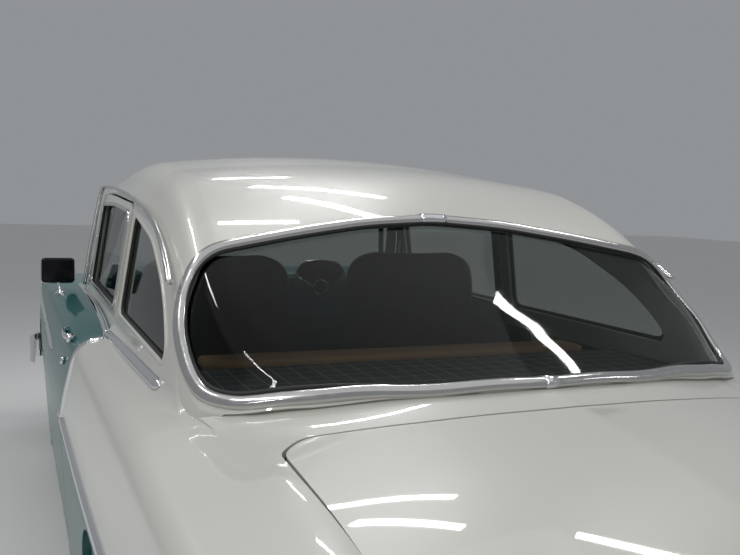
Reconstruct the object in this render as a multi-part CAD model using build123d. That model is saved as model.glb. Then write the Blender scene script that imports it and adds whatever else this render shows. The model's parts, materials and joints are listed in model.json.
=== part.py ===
from build123d import *
from math import cos, radians, sin, tan
import os

# A two-door sedan of the 1950s, full size, in millimetres.
# Stations run rearwards from the front axle, x is to the car's left and z is up.
# At export everything moves so that the origin is on the ground, halfway between the bumpers' ends.

# Driving dimensions of the whole car
WHEELBASE = 2921.0
FRONT_OVERHANG = 795.0
REAR_OVERHANG = 1250.0
BUMPER_HALF_WIDTH = 940.0
TRACK_FRONT = 1473.0
TRACK_REAR = 1494.0
MID_STATION = (WHEELBASE + REAR_OVERHANG - FRONT_OVERHANG) / 2

# Gaps and walls
PANEL_GAP = 6.0
PIN_CLEARANCE = 0.25
FENDER_WALL = 16.0
DOOR_WALL = 56.0
QUARTER_WALL = 30.0
JAMB_WALL = 70.0
ROOF_WALL = 26.0
HOOD_WALL = 20.0
LID_WALL = 22.0
SHEET = 12.0
TAIL_SHEET = 24.0
GLASS = 5.0
GLASS_INSET = 10.0
GLASS_CLEARANCE = 1.0

# Panel cut lines
FENDER_REAR = 650.0
DOOR_FRONT = FENDER_REAR + PANEL_GAP
DOOR_REAR = 1866.0
DOOR_BOTTOM = 296.0
BELT_Z = 1000.0
DOOR_TOP_INNER_X = 764.0
HOOD_REAR = 520.0
HOOD_LIP_Z = 762.0
HOOD_EDGE_X = 640.0
LID_BOTTOM_Z = 560.0
BODY_FRONT = -640.0
BODY_REAR = 4080.0

# Tyres, wheels and front suspension
TYRE_RADIUS = 346.0
TYRE_WIDTH = 172.0
TREAD_FLAT = 50.0
RIM_RADIUS = 190.0
RIM_WIDTH = 136.0
RIM_LIP = 12.0
SPINDLE_RADIUS = 16.0
DRUM_RADIUS = 142.0
DRUM_DEPTH = 62.0
HUBCAP_RADIUS = 118.0
KINGPIN_INSET = 128.0
KINGPIN_X = TRACK_FRONT / 2 - KINGPIN_INSET
BALL_RADIUS = 10.0
KNUCKLE_LOW_Z = 246.0
KNUCKLE_HIGH_Z = 452.0
FRONT_ARCH_RADIUS = 392.0
REAR_ARCH_TOP = 655.0
WHEELHOUSE_RADIUS = 430.0
WHEELHOUSE_INNER_X = 628.0

# Floor, frame and cabin
RAIL_INNER_X = 390.0
RAIL_OUTER_X = 438.0
FLOOR_Z = 350.0
TUNNEL_Z = 462.0
TRUNK_FLOOR_Z = 430.0
AXLE_HUMP_Z = 560.0
ROCKER_INNER_X = 790.0
FIREWALL_STATION = 560.0
PILLAR_FOOT_Z = 652.0
SEAT_CENTRE_X = 375.0
SEAT_HALF_WIDTH = 250.0
COLUMN_FOOT = (375.0, 600.0, 560.0)
STEERING_CENTRE = (375.0, 1240.0, 900.0)
STEERING_RADIUS = 205.0

# Lamps
LAMP_X = 744.0
LAMP_Z = 772.0
LAMP_RADIUS = 92.0
PARKING_X = 700.0
PARKING_Z = 610.0
TAIL_LAMP_X = 745.0
TAIL_LAMP_Z = 770.0
GUARD_FRONT_X = 300.0
GUARD_REAR_X = 360.0
GUARD_FRONT_DEPTH = 24.0
GUARD_REAR_DEPTH = 10.0
BUMPER_WALL = 28.0
FRONT_HORN_STATION = -728.0
REAR_HORN_STATION = 4124.0

# Hinge lines
DOOR_AXIS_X = 900.0
DOOR_AXIS_STATION = 724.0
HOOD_AXIS_Z = 1012.0
LID_AXIS_STATION = 3185.0
LID_AXIS_Z = 1031.0

# Outer skin of the body side. Columns: station, sill z, sill x, widest z, widest x,
# shoulder x, shoulder z, top edge x, top edge z, shoulder radius.
FRONT_SIDE = [
    (BODY_FRONT, 400, 846, 640, 884, 868, 915, 640, 908, 100),
    (-300, 340, 860, 660, 898, 876, 942, 657, 936, 100),
    (150, 280, 872, 680, 906, 880, 966, 680, 966, 95),
    (FENDER_REAR, 250, 878, 690, 911, 880, 984, 706, 992, 90),
    (1250, 250, 880, 700, 913, 874, 976, 742, 1000, 80),
    (1700, 250, 880, 700, 912, 868, 962, 746, 985, 80),
    (1880, 250, 880, 700, 912, 864, 950, 748, 964, 80),
]
REAR_SIDE = [
    (1830, 250, 880, 700, 912, 865, 953, 754, 966, 80),
    (2300, 250, 880, 700, 908, 862, 946, 754, 968, 80),
    (2680, 262, 878, 698, 902, 860, 942, 754, 976, 84),
    (2950, 280, 874, 694, 896, 858, 940, 754, 974, 90),
    (3220, 296, 868, 690, 890, 856, 936, 754, 953, 95),
    (3650, 320, 856, 680, 880, 846, 918, 754, 931, 95),
    (BODY_REAR, 360, 838, 660, 862, 828, 884, 754, 883, 90),
]
# Strip between the shoulder and the boot lid. Columns: station, inner x, inner z, outer z.
DECK_SIDE = [
    (2950, 748, 976, 973),
    (3020, 726, 977, 969),
    (3101, 666, 978, 962),
    (3220, 623, 976, 952),
    (3650, 623, 950, 930),
    (BODY_REAR, 623, 880, 882),
]
WIDEST_RADIUS = 900.0

# Greenhouse skin, closed over the windows. Columns: station, centre z, corner x, corner z,
# corner radius, knee x, knee z, foot x. The knee is the drip rail, or the edge of a wrapped window.
GREENHOUSE = [
    (640, 1069, 350, 1045, 200, 470, 1000, 500),
    (740, 1193, 470, 1146, 200, 655, 1006, 680),
    (850, 1330, 560, 1252, 220, 737, 1016, 752),
    (930, 1430, 600, 1348, 190, 712, 1210, 752),
    (1000, 1478, 620, 1434, 110, 686, 1392, 752),
    (1200, 1524, 620, 1474, 130, 684, 1405, 752),
    (1650, 1560, 620, 1514, 150, 684, 1404, 752),
    (2050, 1530, 630, 1486, 140, 688, 1376, 752),
    (2400, 1466, 644, 1436, 120, 695, 1330, 752),
    (2580, 1383, 650, 1366, 105, 702, 1278, 752),
    (2700, 1311, 655, 1296, 90, 712, 1210, 752),
    (2834, 1235, 650, 1216, 100, 725, 1122, 752),
    (2985, 1149, 600, 1120, 150, 714, 1000, 732),
    (3101, 1083, 430, 1060, 180, 560, 990, 590),
    (3166, 1046, 260, 1032, 180, 420, 985, 450),
]
GREENHOUSE_FOOT_Z = 940.0

# Window openings, in side view (station, z, radius) and front view (x, z, radius)
WINDSHIELD_SIDE = [(560, 1004, 0), (818, 1004, 24), (966, 1398, 40), (1010, 1520, 0), (560, 1520, 0)]
WINDSHIELD_FRONT = [(0, 1004, 0), (800, 1004, 0), (800, 1378, 0), (640, 1396, 120), (420, 1436, 600), (0, 1446, 0)]
REAR_WINDOW_SIDE = [(3300, 930, 0), (3030, 940, 60), (2840, 1098, 400), (2706, 1256, 120), (2560, 1420, 0), (3300, 1420, 0)]
REAR_WINDOW_FRONT = [(0, 1042, 0), (480, 1022, 900), (720, 978, 60), (800, 978, 0), (800, 1232, 0), (700, 1236, 0),
                     (610, 1336, 160), (380, 1366, 500), (0, 1381, 0)]
DOOR_GLASS_OPENINGS = [
    [(898, 1040, 16), (1000, 1330, 20), (1000, 1040, 6)],
    [(1030, 1040, 6), (1030, 1360, 20), (1400, 1368, 2500), (1816, 1352, 24), (1816, 1036, 24)],
]
QUARTER_OPENING = [(1926, 1034, 24), (1926, 1352, 24), (2330, 1294, 700), (2610, 1180, 900), (2780, 1034, 26)]
# The door's window frame in side view, its front edge along the windshield pillar
DOOR_FRAME_FRONT = [(852, BELT_Z), (997, 1404)]
DOOR_FRAME_TOP = [(1400, 1398), (2000, 1374)]
DOOR_BEVEL_LOW = 0.10
DOOR_BEVEL_HIGH = 0.20
DOOR_SKIN_X = 912.0
DOOR_STEP_Z = 972.0

# Hood in side view at several half-widths. Columns: x, rear z, middle z, nose station, nose z, lip station.
HOOD = [
    (0, 1008, 950, -692, 880, -706),
    (350, 1002, 944, -680, 880, -694),
    (712, 983, 924, -642, 884, -656),
]
HOOD_MIDDLE_STATION = -380.0
# Boot lid in side view at several half-widths. Columns: x, front z, bend z, rear station, knee z, lip station.
LID = [
    (0, 1030, 990, 4092, 840, 4086),
    (350, 1014, 976, 4090, 838, 4084),
    (640, 978, 948, 4080, 820, 4074),
]
LID_FIRST_STATION = 3150.0
LID_BEND_STATION = 3588.0
LID_OUTLINE = [(0, 3262, 0), (330, 3240, 900), (566, 3196, 60), (617, 3240, 50), (617, 4200, 0), (0, 4200, 0)]


def side_x(z):
    """Half-width of the greenhouse's side plane at height z."""
    return 743.0 - 0.146 * (z - BELT_Z)


def mirrored(shape):
    """The same shape on the other side of the car."""
    return shape.mirror(Plane.YZ)


def rounded_wire(corners, place):
    """Closed wire through corners (a, b, radius), with an arc where the radius is over nought.
    place turns a point of the outline into a point in space."""
    count = len(corners)
    stops = []
    for i, (a, b, r) in enumerate(corners):
        here = Vector(a, b, 0)
        if r <= 0:
            stops.append((here, None, here))
            continue
        to_before = (Vector(*corners[i - 1][:2], 0) - here).normalized()
        to_after = (Vector(*corners[(i + 1) % count][:2], 0) - here).normalized()
        half_turn = radians(180 - to_before.get_angle(to_after)) / 2
        reach = r * tan(half_turn)
        middle = here + (to_before + to_after).normalized() * (r / cos(half_turn) - r)
        stops.append((here + to_before * reach, middle, here + to_after * reach))
    edges = []
    for i, (start, middle, end) in enumerate(stops):
        if middle is not None:
            edges.append(ThreePointArc(place(start), place(middle), place(end)))
        following = stops[(i + 1) % count][0]
        if (following - end).length > 1e-6:
            edges.append(Line(place(end), place(following)))
    return Wire(edges)


def across(station):
    """Places (x, z) at a station."""
    return lambda p: Vector(p.X, station, p.Y)


def along(x):
    """Places (station, z) at a half-width x."""
    return lambda p: Vector(x, p.X, p.Y)


def level(z):
    """Places (x, station) at height z."""
    return lambda p: Vector(p.X, p.Y, z)


def block(x0, x1, s0, s1, z0, z1):
    """Box between two corners."""
    return Pos((x0 + x1) / 2, (s0 + s1) / 2, (z0 + z1) / 2) * Box(abs(x1 - x0), abs(s1 - s0), abs(z1 - z0))


def side_prism(outline, x0, x1):
    """Side-view outline extruded from x0 to x1."""
    return extrude(Face(rounded_wire(outline, along(x0))), amount=x1 - x0, dir=(1, 0, 0))


def front_prism(outline, s0, s1):
    """Front-view outline extruded from station s0 to s1."""
    return extrude(Face(rounded_wire(outline, across(s0))), amount=s1 - s0, dir=(0, 1, 0))


def plan_prism(outline, z0, z1):
    """Plan-view outline extruded from z0 to z1."""
    return extrude(Face(rounded_wire(outline, level(z0))), amount=z1 - z0, dir=(0, 0, 1))


def full_outline(half):
    """An outline from its right-hand half, which starts and ends on the centre line."""
    return half + [(-x, b, r) for x, b, r in reversed(half[1:-1])]


def x_cylinder(radius, x0, x1, station, z):
    """Cylinder along x."""
    return Pos((x0 + x1) / 2, station, z) * Rot(0, 90, 0) * Cylinder(radius, abs(x1 - x0))


def z_cylinder(radius, z0, z1, x, station):
    """Upright cylinder."""
    return Pos(x, station, (z0 + z1) / 2) * Cylinder(radius, abs(z1 - z0))


def rod(start, end, radius):
    """Round bar between two points."""
    start, end = Vector(*start), Vector(*end)
    span = end - start
    return Plane(origin=(start + end) * 0.5, z_dir=span.normalized()) * Cylinder(radius, span.length)


def bent_rod(points, radius):
    """Round bar through several points."""
    shape = rod(points[0], points[1], radius)
    for start, end in zip(points[1:], points[2:]):
        shape = shape + Pos(*start) * Sphere(radius) + rod(start, end, radius)
    return shape


def turned(profile):
    """Solid turned about x from (x, r) corners with radii."""
    face = Face(rounded_wire(profile, lambda p: Vector(p.X, 0, p.Y)))
    return revolve(face, Axis.X, 360)


def side_section(row, inset, wall):
    """Section of a body side: its outline moved in by inset, and one wall thick."""
    _, sill_z, sill_x, wide_z, wide_x, shoulder_x, shoulder_z, top_x, top_z, r = row
    deep = inset + wall
    deep_radius = WIDEST_RADIUS - 5 * deep
    return [(sill_x - inset, sill_z, 0), (wide_x - inset, wide_z, WIDEST_RADIUS),
            (shoulder_x - inset, shoulder_z - inset, r - inset), (top_x, top_z - inset, 0), (top_x, top_z - deep, 0),
            (shoulder_x - deep, shoulder_z - deep, max(r - deep, 20)), (wide_x - deep, wide_z, deep_radius),
            (sill_x - deep, sill_z, 0)]


def body_side(rows, wall):
    """Left body side as a shell of the given wall, lofted through the rows."""
    return Solid.make_loft([rounded_wire(side_section(row, 0.0, wall), across(row[0])) for row in rows], ruled=False)


def greenhouse_half(row, inset):
    """Right-hand half outline of the greenhouse at a row, its skin moved inwards by inset."""
    _, top_z, corner_x, corner_z, corner_r, knee_x, knee_z, foot_x = row
    return [(0, top_z - inset, 0), (corner_x - inset, corner_z - inset, corner_r - inset),
            (knee_x - inset, knee_z - inset / 4, 0), (foot_x - inset, GREENHOUSE_FOOT_Z, 0)]


def greenhouse():
    """The closed greenhouse as a solid."""
    wires = []
    for row in GREENHOUSE:
        half = greenhouse_half(row, 0.0)
        wires.append(rounded_wire(half + [(-x, z, r) for x, z, r in reversed(half[1:])], across(row[0])))
    return Solid.make_loft(wires, ruled=True)


def greenhouse_layer(inset, wall):
    """A layer of the greenhouse's skin that starts at inset and is one wall thick."""
    wires = []
    for row in GREENHOUSE:
        out = greenhouse_half(row, inset)
        under = greenhouse_half(row, inset + wall)
        outer_arch = [(-x, z, r) for x, z, r in reversed(out[1:])] + out
        inner_arch = list(reversed(under)) + [(-x, z, r) for x, z, r in under[1:]]
        wires.append(rounded_wire(outer_arch + inner_arch, across(row[0])))
    return Solid.make_loft(wires, ruled=True)


def grown(outline, by):
    """Outline moved outwards from its middle by about a distance. A point on the centre line stays there."""
    middle_a = (min(p[0] for p in outline) + max(p[0] for p in outline)) / 2
    middle_b = (min(p[1] for p in outline) + max(p[1] for p in outline)) / 2
    points = []
    for a, b, r in outline:
        shift = 0 if a == 0 else (by if a > middle_a else -by)
        points.append((a + shift, b + (by if b > middle_b else -by), r))
    return points


def save(name, *solids):
    """Writes one node, moved into the row frame."""
    shape = Compound(children=list(solids)) if len(solids) > 1 else solids[0]
    export_step(Pos(0, -MID_STATION, 0) * shape, f"parts/{name}.step")
    print(name, round(shape.volume / 1e6, 2), "litres")


def save_pair(name, shape):
    """Writes a left piece and its mirror image on the right."""
    save(name + "_left", shape)
    save(name + "_right", mirrored(shape))


def door_space(gap):
    """Space of the left door in the body, grown by gap. The rear edge is bevelled for the swing,
    in two steps, because the window frame lies further inboard than the skin."""
    def rear_low(x):
        return DOOR_REAR + gap - DOOR_BEVEL_LOW * (DOOR_SKIN_X - x)

    def rear_high(x):
        return DOOR_REAR + gap - DOOR_BEVEL_HIGH * (side_x(BELT_Z) - x)

    low, high = [], []
    (frame_s0, frame_z0), (frame_s1, frame_z1) = DOOR_FRAME_FRONT
    (top_s0, top_z0), (top_s1, top_z1) = DOOR_FRAME_TOP
    for x in (560.0, 1000.0):
        low.append(rounded_wire([(DOOR_FRONT - gap, DOOR_BOTTOM - gap, 0), (DOOR_FRONT - gap, DOOR_STEP_Z, 0),
                                 (rear_low(x), DOOR_STEP_Z, 0), (rear_low(x), DOOR_BOTTOM - gap, 0)], along(x)))
        top_slope = (top_z1 - top_z0) / (top_s1 - top_s0)
        rear_top_z = top_z0 + top_slope * (rear_high(x) - top_s0) + gap
        high.append(rounded_wire([(frame_s0 - gap - 10, DOOR_STEP_Z, 0), (frame_s1 - gap, frame_z1 + gap, 60),
                                  (top_s0, top_z0 + gap, 0), (rear_high(x), rear_top_z, 0),
                                  (rear_high(x), DOOR_STEP_Z, 0)], along(x)))
    front_corner = block(700, 1000, DOOR_FRONT - gap, frame_s0 + 20, DOOR_STEP_Z - 5, 1060)
    return Solid.make_loft(low, ruled=True) + Solid.make_loft(high, ruled=True) + front_corner


def windshield_space(gap):
    """Space of the windshield opening."""
    front = front_prism(full_outline(grown(WINDSHIELD_FRONT, gap)), 560, 1200)
    return front & side_prism(grown(WINDSHIELD_SIDE, gap), -900, 900)


def rear_window_space(gap):
    """Space of the rear window opening."""
    front = front_prism(full_outline(grown(REAR_WINDOW_FRONT, gap)), 2500, 3260)
    return front & side_prism(grown(REAR_WINDOW_SIDE, gap), -900, 900)


def shrunk(outline, by):
    """Window outline drawn in towards its middle, so that every edge moves inwards by at least a distance."""
    count = len(outline)
    middle = Vector(sum(p[0] for p in outline) / count, sum(p[1] for p in outline) / count, 0)
    nearest = 1e9
    for i, (a, b, _) in enumerate(outline):
        start = Vector(a, b, 0)
        edge = (Vector(*outline[(i + 1) % count][:2], 0) - start).normalized()
        nearest = min(nearest, edge.cross(middle - start).length)
    keep = 1 - by / nearest
    return [(middle.X + (a - middle.X) * keep, middle.Y + (b - middle.Y) * keep, r * keep) for a, b, r in outline]


def side_openings(outlines, clearance):
    """Spaces of side windows on the left."""
    shape = side_prism(shrunk(outlines[0], clearance), 600, 800)
    for outline in outlines[1:]:
        shape = shape + side_prism(shrunk(outline, clearance), 600, 800)
    return shape


def make_fenders():
    """Front fenders with their nose panels and wheel openings."""
    fender = body_side(FRONT_SIDE, FENDER_WALL) & block(500, 1000, BODY_FRONT, FENDER_REAR, 0, 1100)
    arch = x_cylinder(FRONT_ARCH_RADIUS, 640, 1000, 0, TYRE_RADIUS)
    arch = arch + block(640, 1000, -FRONT_ARCH_RADIUS, FRONT_ARCH_RADIUS, 0, TYRE_RADIUS)
    nose = front_prism([(644, 905, 0), (644, 756, 0), (576, 756, 0), (576, 430, 0), (842, 430, 40), (884, 640, 300),
                        (866, 905, 60)], BODY_FRONT - 20, BODY_FRONT + 4)
    lamp_hole = Pos(LAMP_X, BODY_FRONT, LAMP_Z) * Rot(90, 0, 0) * Cylinder(LAMP_RADIUS, 100)
    visor = Pos(LAMP_X, BODY_FRONT - 24, LAMP_Z) * Rot(90, 0, 0) * (Cylinder(LAMP_RADIUS + 26, 56) - Cylinder(LAMP_RADIUS + 14, 57))
    visor = visor & block(HOOD_EDGE_X + 1, 1000, BODY_FRONT - 60, BODY_FRONT + 4, LAMP_Z - 20, 1000)
    parking_hole = block(PARKING_X - 61, PARKING_X + 61, BODY_FRONT - 40, BODY_FRONT + 10, PARKING_Z - 31, PARKING_Z + 31)
    save_pair("fender", ((fender - arch) + nose + visor) - lamp_hole - parking_hole)


def make_doors(shell, glass_shell):
    """Doors with their window frames and glass."""
    swing_corner = block(500, DOOR_TOP_INNER_X, 0, DOOR_FRAME_FRONT[0][0] - 20, 900, 1100)
    door = body_side(FRONT_SIDE, DOOR_WALL) & block(500, 1000, 600, 1900, DOOR_BOTTOM, 1100)
    door = (door & door_space(0.0)) - swing_corner
    frame = (shell & door_space(0.0)) - swing_corner
    save_pair("door", door + frame - side_openings(DOOR_GLASS_OPENINGS, 0.0))
    save_pair("door_window", glass_shell & side_openings(DOOR_GLASS_OPENINGS, GLASS_CLEARANCE))
    head = fillet(block(800, 920, 812, 848, 1022, 1118).edges().filter_by(Axis.Y), 30)
    stalk = rod((850, 830, 960), (858, 830, 1030), 9)
    save("door_mirror", (head + stalk) - door)


def make_quarters(outer, gap_space):
    """Rear quarter panels with door jambs and wheel openings."""
    quarter = body_side(REAR_SIDE, QUARTER_WALL)
    jamb = front_prism(side_section(REAR_SIDE[0], QUARTER_WALL / 2, JAMB_WALL), REAR_SIDE[0][0] + 2, DOOR_REAR + 30)
    edge_x = REAR_SIDE[0][7] + 2
    strip = Solid.make_loft([rounded_wire([(x, z, 0), (edge_x, edge_z, 0), (edge_x, edge_z - QUARTER_WALL + 2, 0),
                                           (x, z - QUARTER_WALL + 2, 0)], across(s)) for s, x, z, edge_z in DECK_SIDE], ruled=True)
    rear_arch = side_prism([(WHEELBASE - 400, 0, 0), (WHEELBASE - 400, REAR_ARCH_TOP, 200),
                            (WHEELBASE + 430, REAR_ARCH_TOP, 260), (WHEELBASE + 470, 0, 0)], 760, 1000)
    quarter = quarter - gap_space - block(700, 1000, 1800, DOOR_REAR - 14, 0, DOOR_BOTTOM)
    jamb = jamb - gap_space - block(700, 1000, 1800, DOOR_REAR - 14, 0, DOOR_BOTTOM)
    quarter = quarter + jamb + (strip - lid_hole()) - rear_arch
    save_pair("quarter", quarter)
    return quarter


def make_roof(shell, gap_space, glass_shell):
    """Roof with its pillars, and the fixed glass."""
    opening = side_openings([QUARTER_OPENING], 0.0)
    roof = shell - gap_space - mirrored(gap_space) - windshield_space(0.0) - rear_window_space(0.0)
    roof = roof - opening - mirrored(opening) - block(-900, 900, 560, 812, 900, 1004)
    save("roof", max(roof.solids(), key=lambda s: s.volume))
    save("windshield", glass_shell & windshield_space(-GLASS_CLEARANCE))
    save("rear_window", glass_shell & rear_window_space(-GLASS_CLEARANCE))
    pane = glass_shell & side_openings([QUARTER_OPENING], GLASS_CLEARANCE)
    save("quarter_windows", pane, mirrored(pane))


def mirrored_rows(rows):
    """Rows of a cross-car loft, with those on the right added."""
    return [(-row[0],) + row[1:] for row in reversed(rows[1:])] + rows


def make_hood():
    """Hood, lofted across the car from side-view sections."""
    wires = []
    for x, rear_z, middle_z, nose_s, nose_z, lip_s in mirrored_rows(HOOD):
        top = [(HOOD_REAR, rear_z, 0), (HOOD_MIDDLE_STATION, middle_z, 1500), (nose_s, nose_z, 70), (lip_s, HOOD_LIP_Z, 0)]
        under = [(lip_s + HOOD_WALL, HOOD_LIP_Z, 0), (nose_s + HOOD_WALL, nose_z - HOOD_WALL, 50),
                 (HOOD_MIDDLE_STATION, middle_z - HOOD_WALL, 1500), (HOOD_REAR, rear_z - HOOD_WALL, 0)]
        wires.append(rounded_wire(top + under, along(x)))
    blank = Solid.make_loft(wires, ruled=False)
    edge_front = FRONT_SIDE[0][7] - PANEL_GAP
    edge_rear = FRONT_SIDE[3][7] - PANEL_GAP - 8
    plan = [(edge_front - 8, -800, 0), (edge_rear, HOOD_REAR, 0), (-edge_rear, HOOD_REAR, 0), (8 - edge_front, -800, 0)]
    save("hood", blank & plan_prism(plan, 600, 1100))


def lid_hole():
    """Space of the boot lid's opening, a panel gap wider than the lid."""
    outline = [(x + (PANEL_GAP if x else 0), s - PANEL_GAP, r) for x, s, r in LID_OUTLINE]
    return plan_prism(full_outline(outline), 500, 1200)


def make_lid(quarter, outer):
    """Boot lid, the deck in front of it and the parcel shelf."""
    wires = []
    for x, front_z, bend_z, rear_s, knee_z, lip_s in mirrored_rows(LID):
        top = [(LID_FIRST_STATION, front_z, 0), (LID_BEND_STATION, bend_z, 1500), (rear_s, knee_z, 230), (lip_s, LID_BOTTOM_Z, 0)]
        under = [(lip_s - LID_WALL, LID_BOTTOM_Z, 0), (rear_s - LID_WALL, knee_z - LID_WALL, 208),
                 (LID_BEND_STATION, bend_z - LID_WALL, 1480), (LID_FIRST_STATION, front_z - LID_WALL, 0)]
        wires.append(rounded_wire(top + under, along(x)))
    blank = Solid.make_loft(wires, ruled=False)
    save("trunk_lid", blank & plan_prism(full_outline(LID_OUTLINE), 500, 1100))
    deck = front_prism(full_outline([(0, 1036, 0), (480, 1012, 1500), (740, 972, 0), (740, 950, 0), (480, 990, 1500), (0, 1014, 0)]),
                       2900, 3300)
    deck = deck & plan_prism([(-716, 2950, 0), (716, 2950, 0), (640, 3262, 0), (-640, 3262, 0)], 900, 1100)
    deck = deck - lid_hole() - outer - quarter - mirrored(quarter)
    deck = max(deck.solids(), key=lambda s: s.volume)
    shelf = plan_prism(full_outline([(0, 2536, 0), (712, 2536, 0), (712, 2780, 0), (696, 2985, 60), (520, 3090, 0), (0, 3120, 0)]),
                       962, 976)
    save("rear_deck", deck, shelf)
    tail = front_prism(full_outline([(0, 360, 0), (780, 360, 30), (822, 380, 30), (842, 660, 300), (812, 880, 60), (623, 876, 0),
                                     (606, 554, 0), (0, 554, 0)]), BODY_REAR, BODY_REAR + TAIL_SHEET)
    notch = block(389, 439, BODY_REAR - 10, BODY_REAR + 40, 340, 416)
    tail = tail - notch - mirrored(notch)
    save("tail_panel", tail)


def make_floor():
    """Floor with tunnel, toe board, axle hump, rear bulkhead, wheelhouses and rockers."""
    top = [(FIREWALL_STATION, 640, 0), (770, FLOOR_Z, 60), (2330, FLOOR_Z, 60), (2480, AXLE_HUMP_Z, 40),
           (3340, AXLE_HUMP_Z, 40), (3430, TRUNK_FLOOR_Z, 40), (BODY_REAR - 4, TRUNK_FLOOR_Z, 0)]
    under = [(s, z - SHEET, r) for s, z, r in reversed(top)]
    floor = side_prism(top + under, -ROCKER_INNER_X, ROCKER_INNER_X)
    tunnel_half = [(0, TUNNEL_Z, 0), (80, TUNNEL_Z, 40), (130, FLOOR_Z - SHEET, 0), (0, FLOOR_Z - SHEET, 0)]
    inner_half = [(0, TUNNEL_Z - SHEET, 0), (72, TUNNEL_Z - SHEET, 32), (118, FLOOR_Z - SHEET - 1, 0), (0, FLOOR_Z - SHEET - 1, 0)]
    tunnel = front_prism(full_outline(tunnel_half), FIREWALL_STATION + 4, 2420)
    hollow = front_prism(full_outline(inner_half), FIREWALL_STATION - 40, 2560)
    floor = (floor + tunnel) - hollow
    well = block(WHEELHOUSE_INNER_X, 900, WHEELBASE - WHEELHOUSE_RADIUS, WHEELBASE + WHEELHOUSE_RADIUS, 0, 900)
    floor = floor - well - mirrored(well)
    arch = x_cylinder(WHEELHOUSE_RADIUS, WHEELHOUSE_INNER_X, 836, WHEELBASE, TYRE_RADIUS)
    arch = arch - x_cylinder(WHEELHOUSE_RADIUS - SHEET, WHEELHOUSE_INNER_X + SHEET, 900, WHEELBASE, TYRE_RADIUS)
    arch = arch & block(500, 900, 2000, 3500, TYRE_RADIUS - 20, 900)
    arch = arch - block(600, 660, WHEELBASE - 70, WHEELBASE + 70, 0, TYRE_RADIUS + 70)
    web = block(ROCKER_INNER_X - SHEET, ROCKER_INNER_X, FIREWALL_STATION, 2480, 252, FLOOR_Z)
    rocker = block(ROCKER_INNER_X - SHEET, 874, DOOR_FRONT, DOOR_REAR - 20, 252, DOOR_BOTTOM - PANEL_GAP)
    bulkhead = block(-WHEELHOUSE_INNER_X, WHEELHOUSE_INNER_X, 2560, 2560 + SHEET, AXLE_HUMP_Z - 2, 962)
    for piece in (arch, web, rocker):
        floor = floor + piece + mirrored(piece)
    save("floor_pan", floor + bulkhead)
    return floor


def make_cowl(outer):
    """Firewall, cowl top, hinge pillars, inner aprons and radiator support."""
    firewall = block(-700, 700, FIREWALL_STATION - SHEET, FIREWALL_STATION, 500, 985)
    half = [(0, 1010, 0), (420, 1002, 2500), (742, 984, 0), (742, 964, 0), (420, 982, 2500), (0, 990, 0)]
    cowl_top = front_prism(full_outline(half), HOOD_REAR + PANEL_GAP, 806)
    plan_half = [(0, 500, 0), (682, 500, 0), (692, 650, 0), (742, 690, 0), (742, 900, 0), (0, 900, 0)]
    cowl_top = cowl_top & plan_prism(full_outline(plan_half), 900, 1100)
    cowl_top = cowl_top - block(-640, 640, 700, 900, 900, 1100)
    pillar = block(700, 742, FIREWALL_STATION - SHEET, 700, PILLAR_FOOT_Z, 950)
    pillar = pillar + block(700, 785, FIREWALL_STATION - SHEET, 640, PILLAR_FOOT_Z, 930)
    apron = block(444, 454, -560, FIREWALL_STATION - 4, 480, 850)
    ledge = block(444, 640, -560, -420, 838, 850)
    support = block(-450, 450, -380, -372, 480, 860) + block(-386, 386, -380, -372, 330, 490)
    support = support - block(-290, 290, -400, -300, 380, 840)
    cowl = firewall + cowl_top + support
    for piece in (pillar, apron, ledge):
        cowl = cowl + piece + mirrored(piece)
    save("cowl", cowl)
    return cowl


def make_frame():
    """Ladder frame with kick-ups, cross members and bumper horns."""
    top = [(-640, 470, 0), (-420, 460, 150), (-120, 400, 150), (160, 320, 150), (2360, 320, 200), (2620, 530, 200),
           (3200, 530, 200), (3420, 410, 200), (3990, 410, 0)]
    under = [(s, z - 95, r) for s, z, r in reversed(top)]
    rail = side_prism(top + under, RAIL_INNER_X, RAIL_OUTER_X)
    frame = rail + mirrored(rail)
    # Columns: front station, rear station, lowest z, highest z
    for s0, s1, z0, z1 in [(-600, -540, 390, 460), (-60, 60, 240, 310), (1250, 1330, 228, 242), (2380, 2440, 250, 262),
                           (3930, 3980, 370, 400)]:
        frame = frame + block(-RAIL_INNER_X - 2, RAIL_INNER_X + 2, s0, s1, z0, z1)
    horn = block(395, 433, FRONT_HORN_STATION, -620, 430, 465)
    tail = block(395, 433, 3980, REAR_HORN_STATION, 375, 410)
    for piece in (horn, tail):
        frame = frame + piece + mirrored(piece)
    save("chassis_frame", frame)


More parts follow.
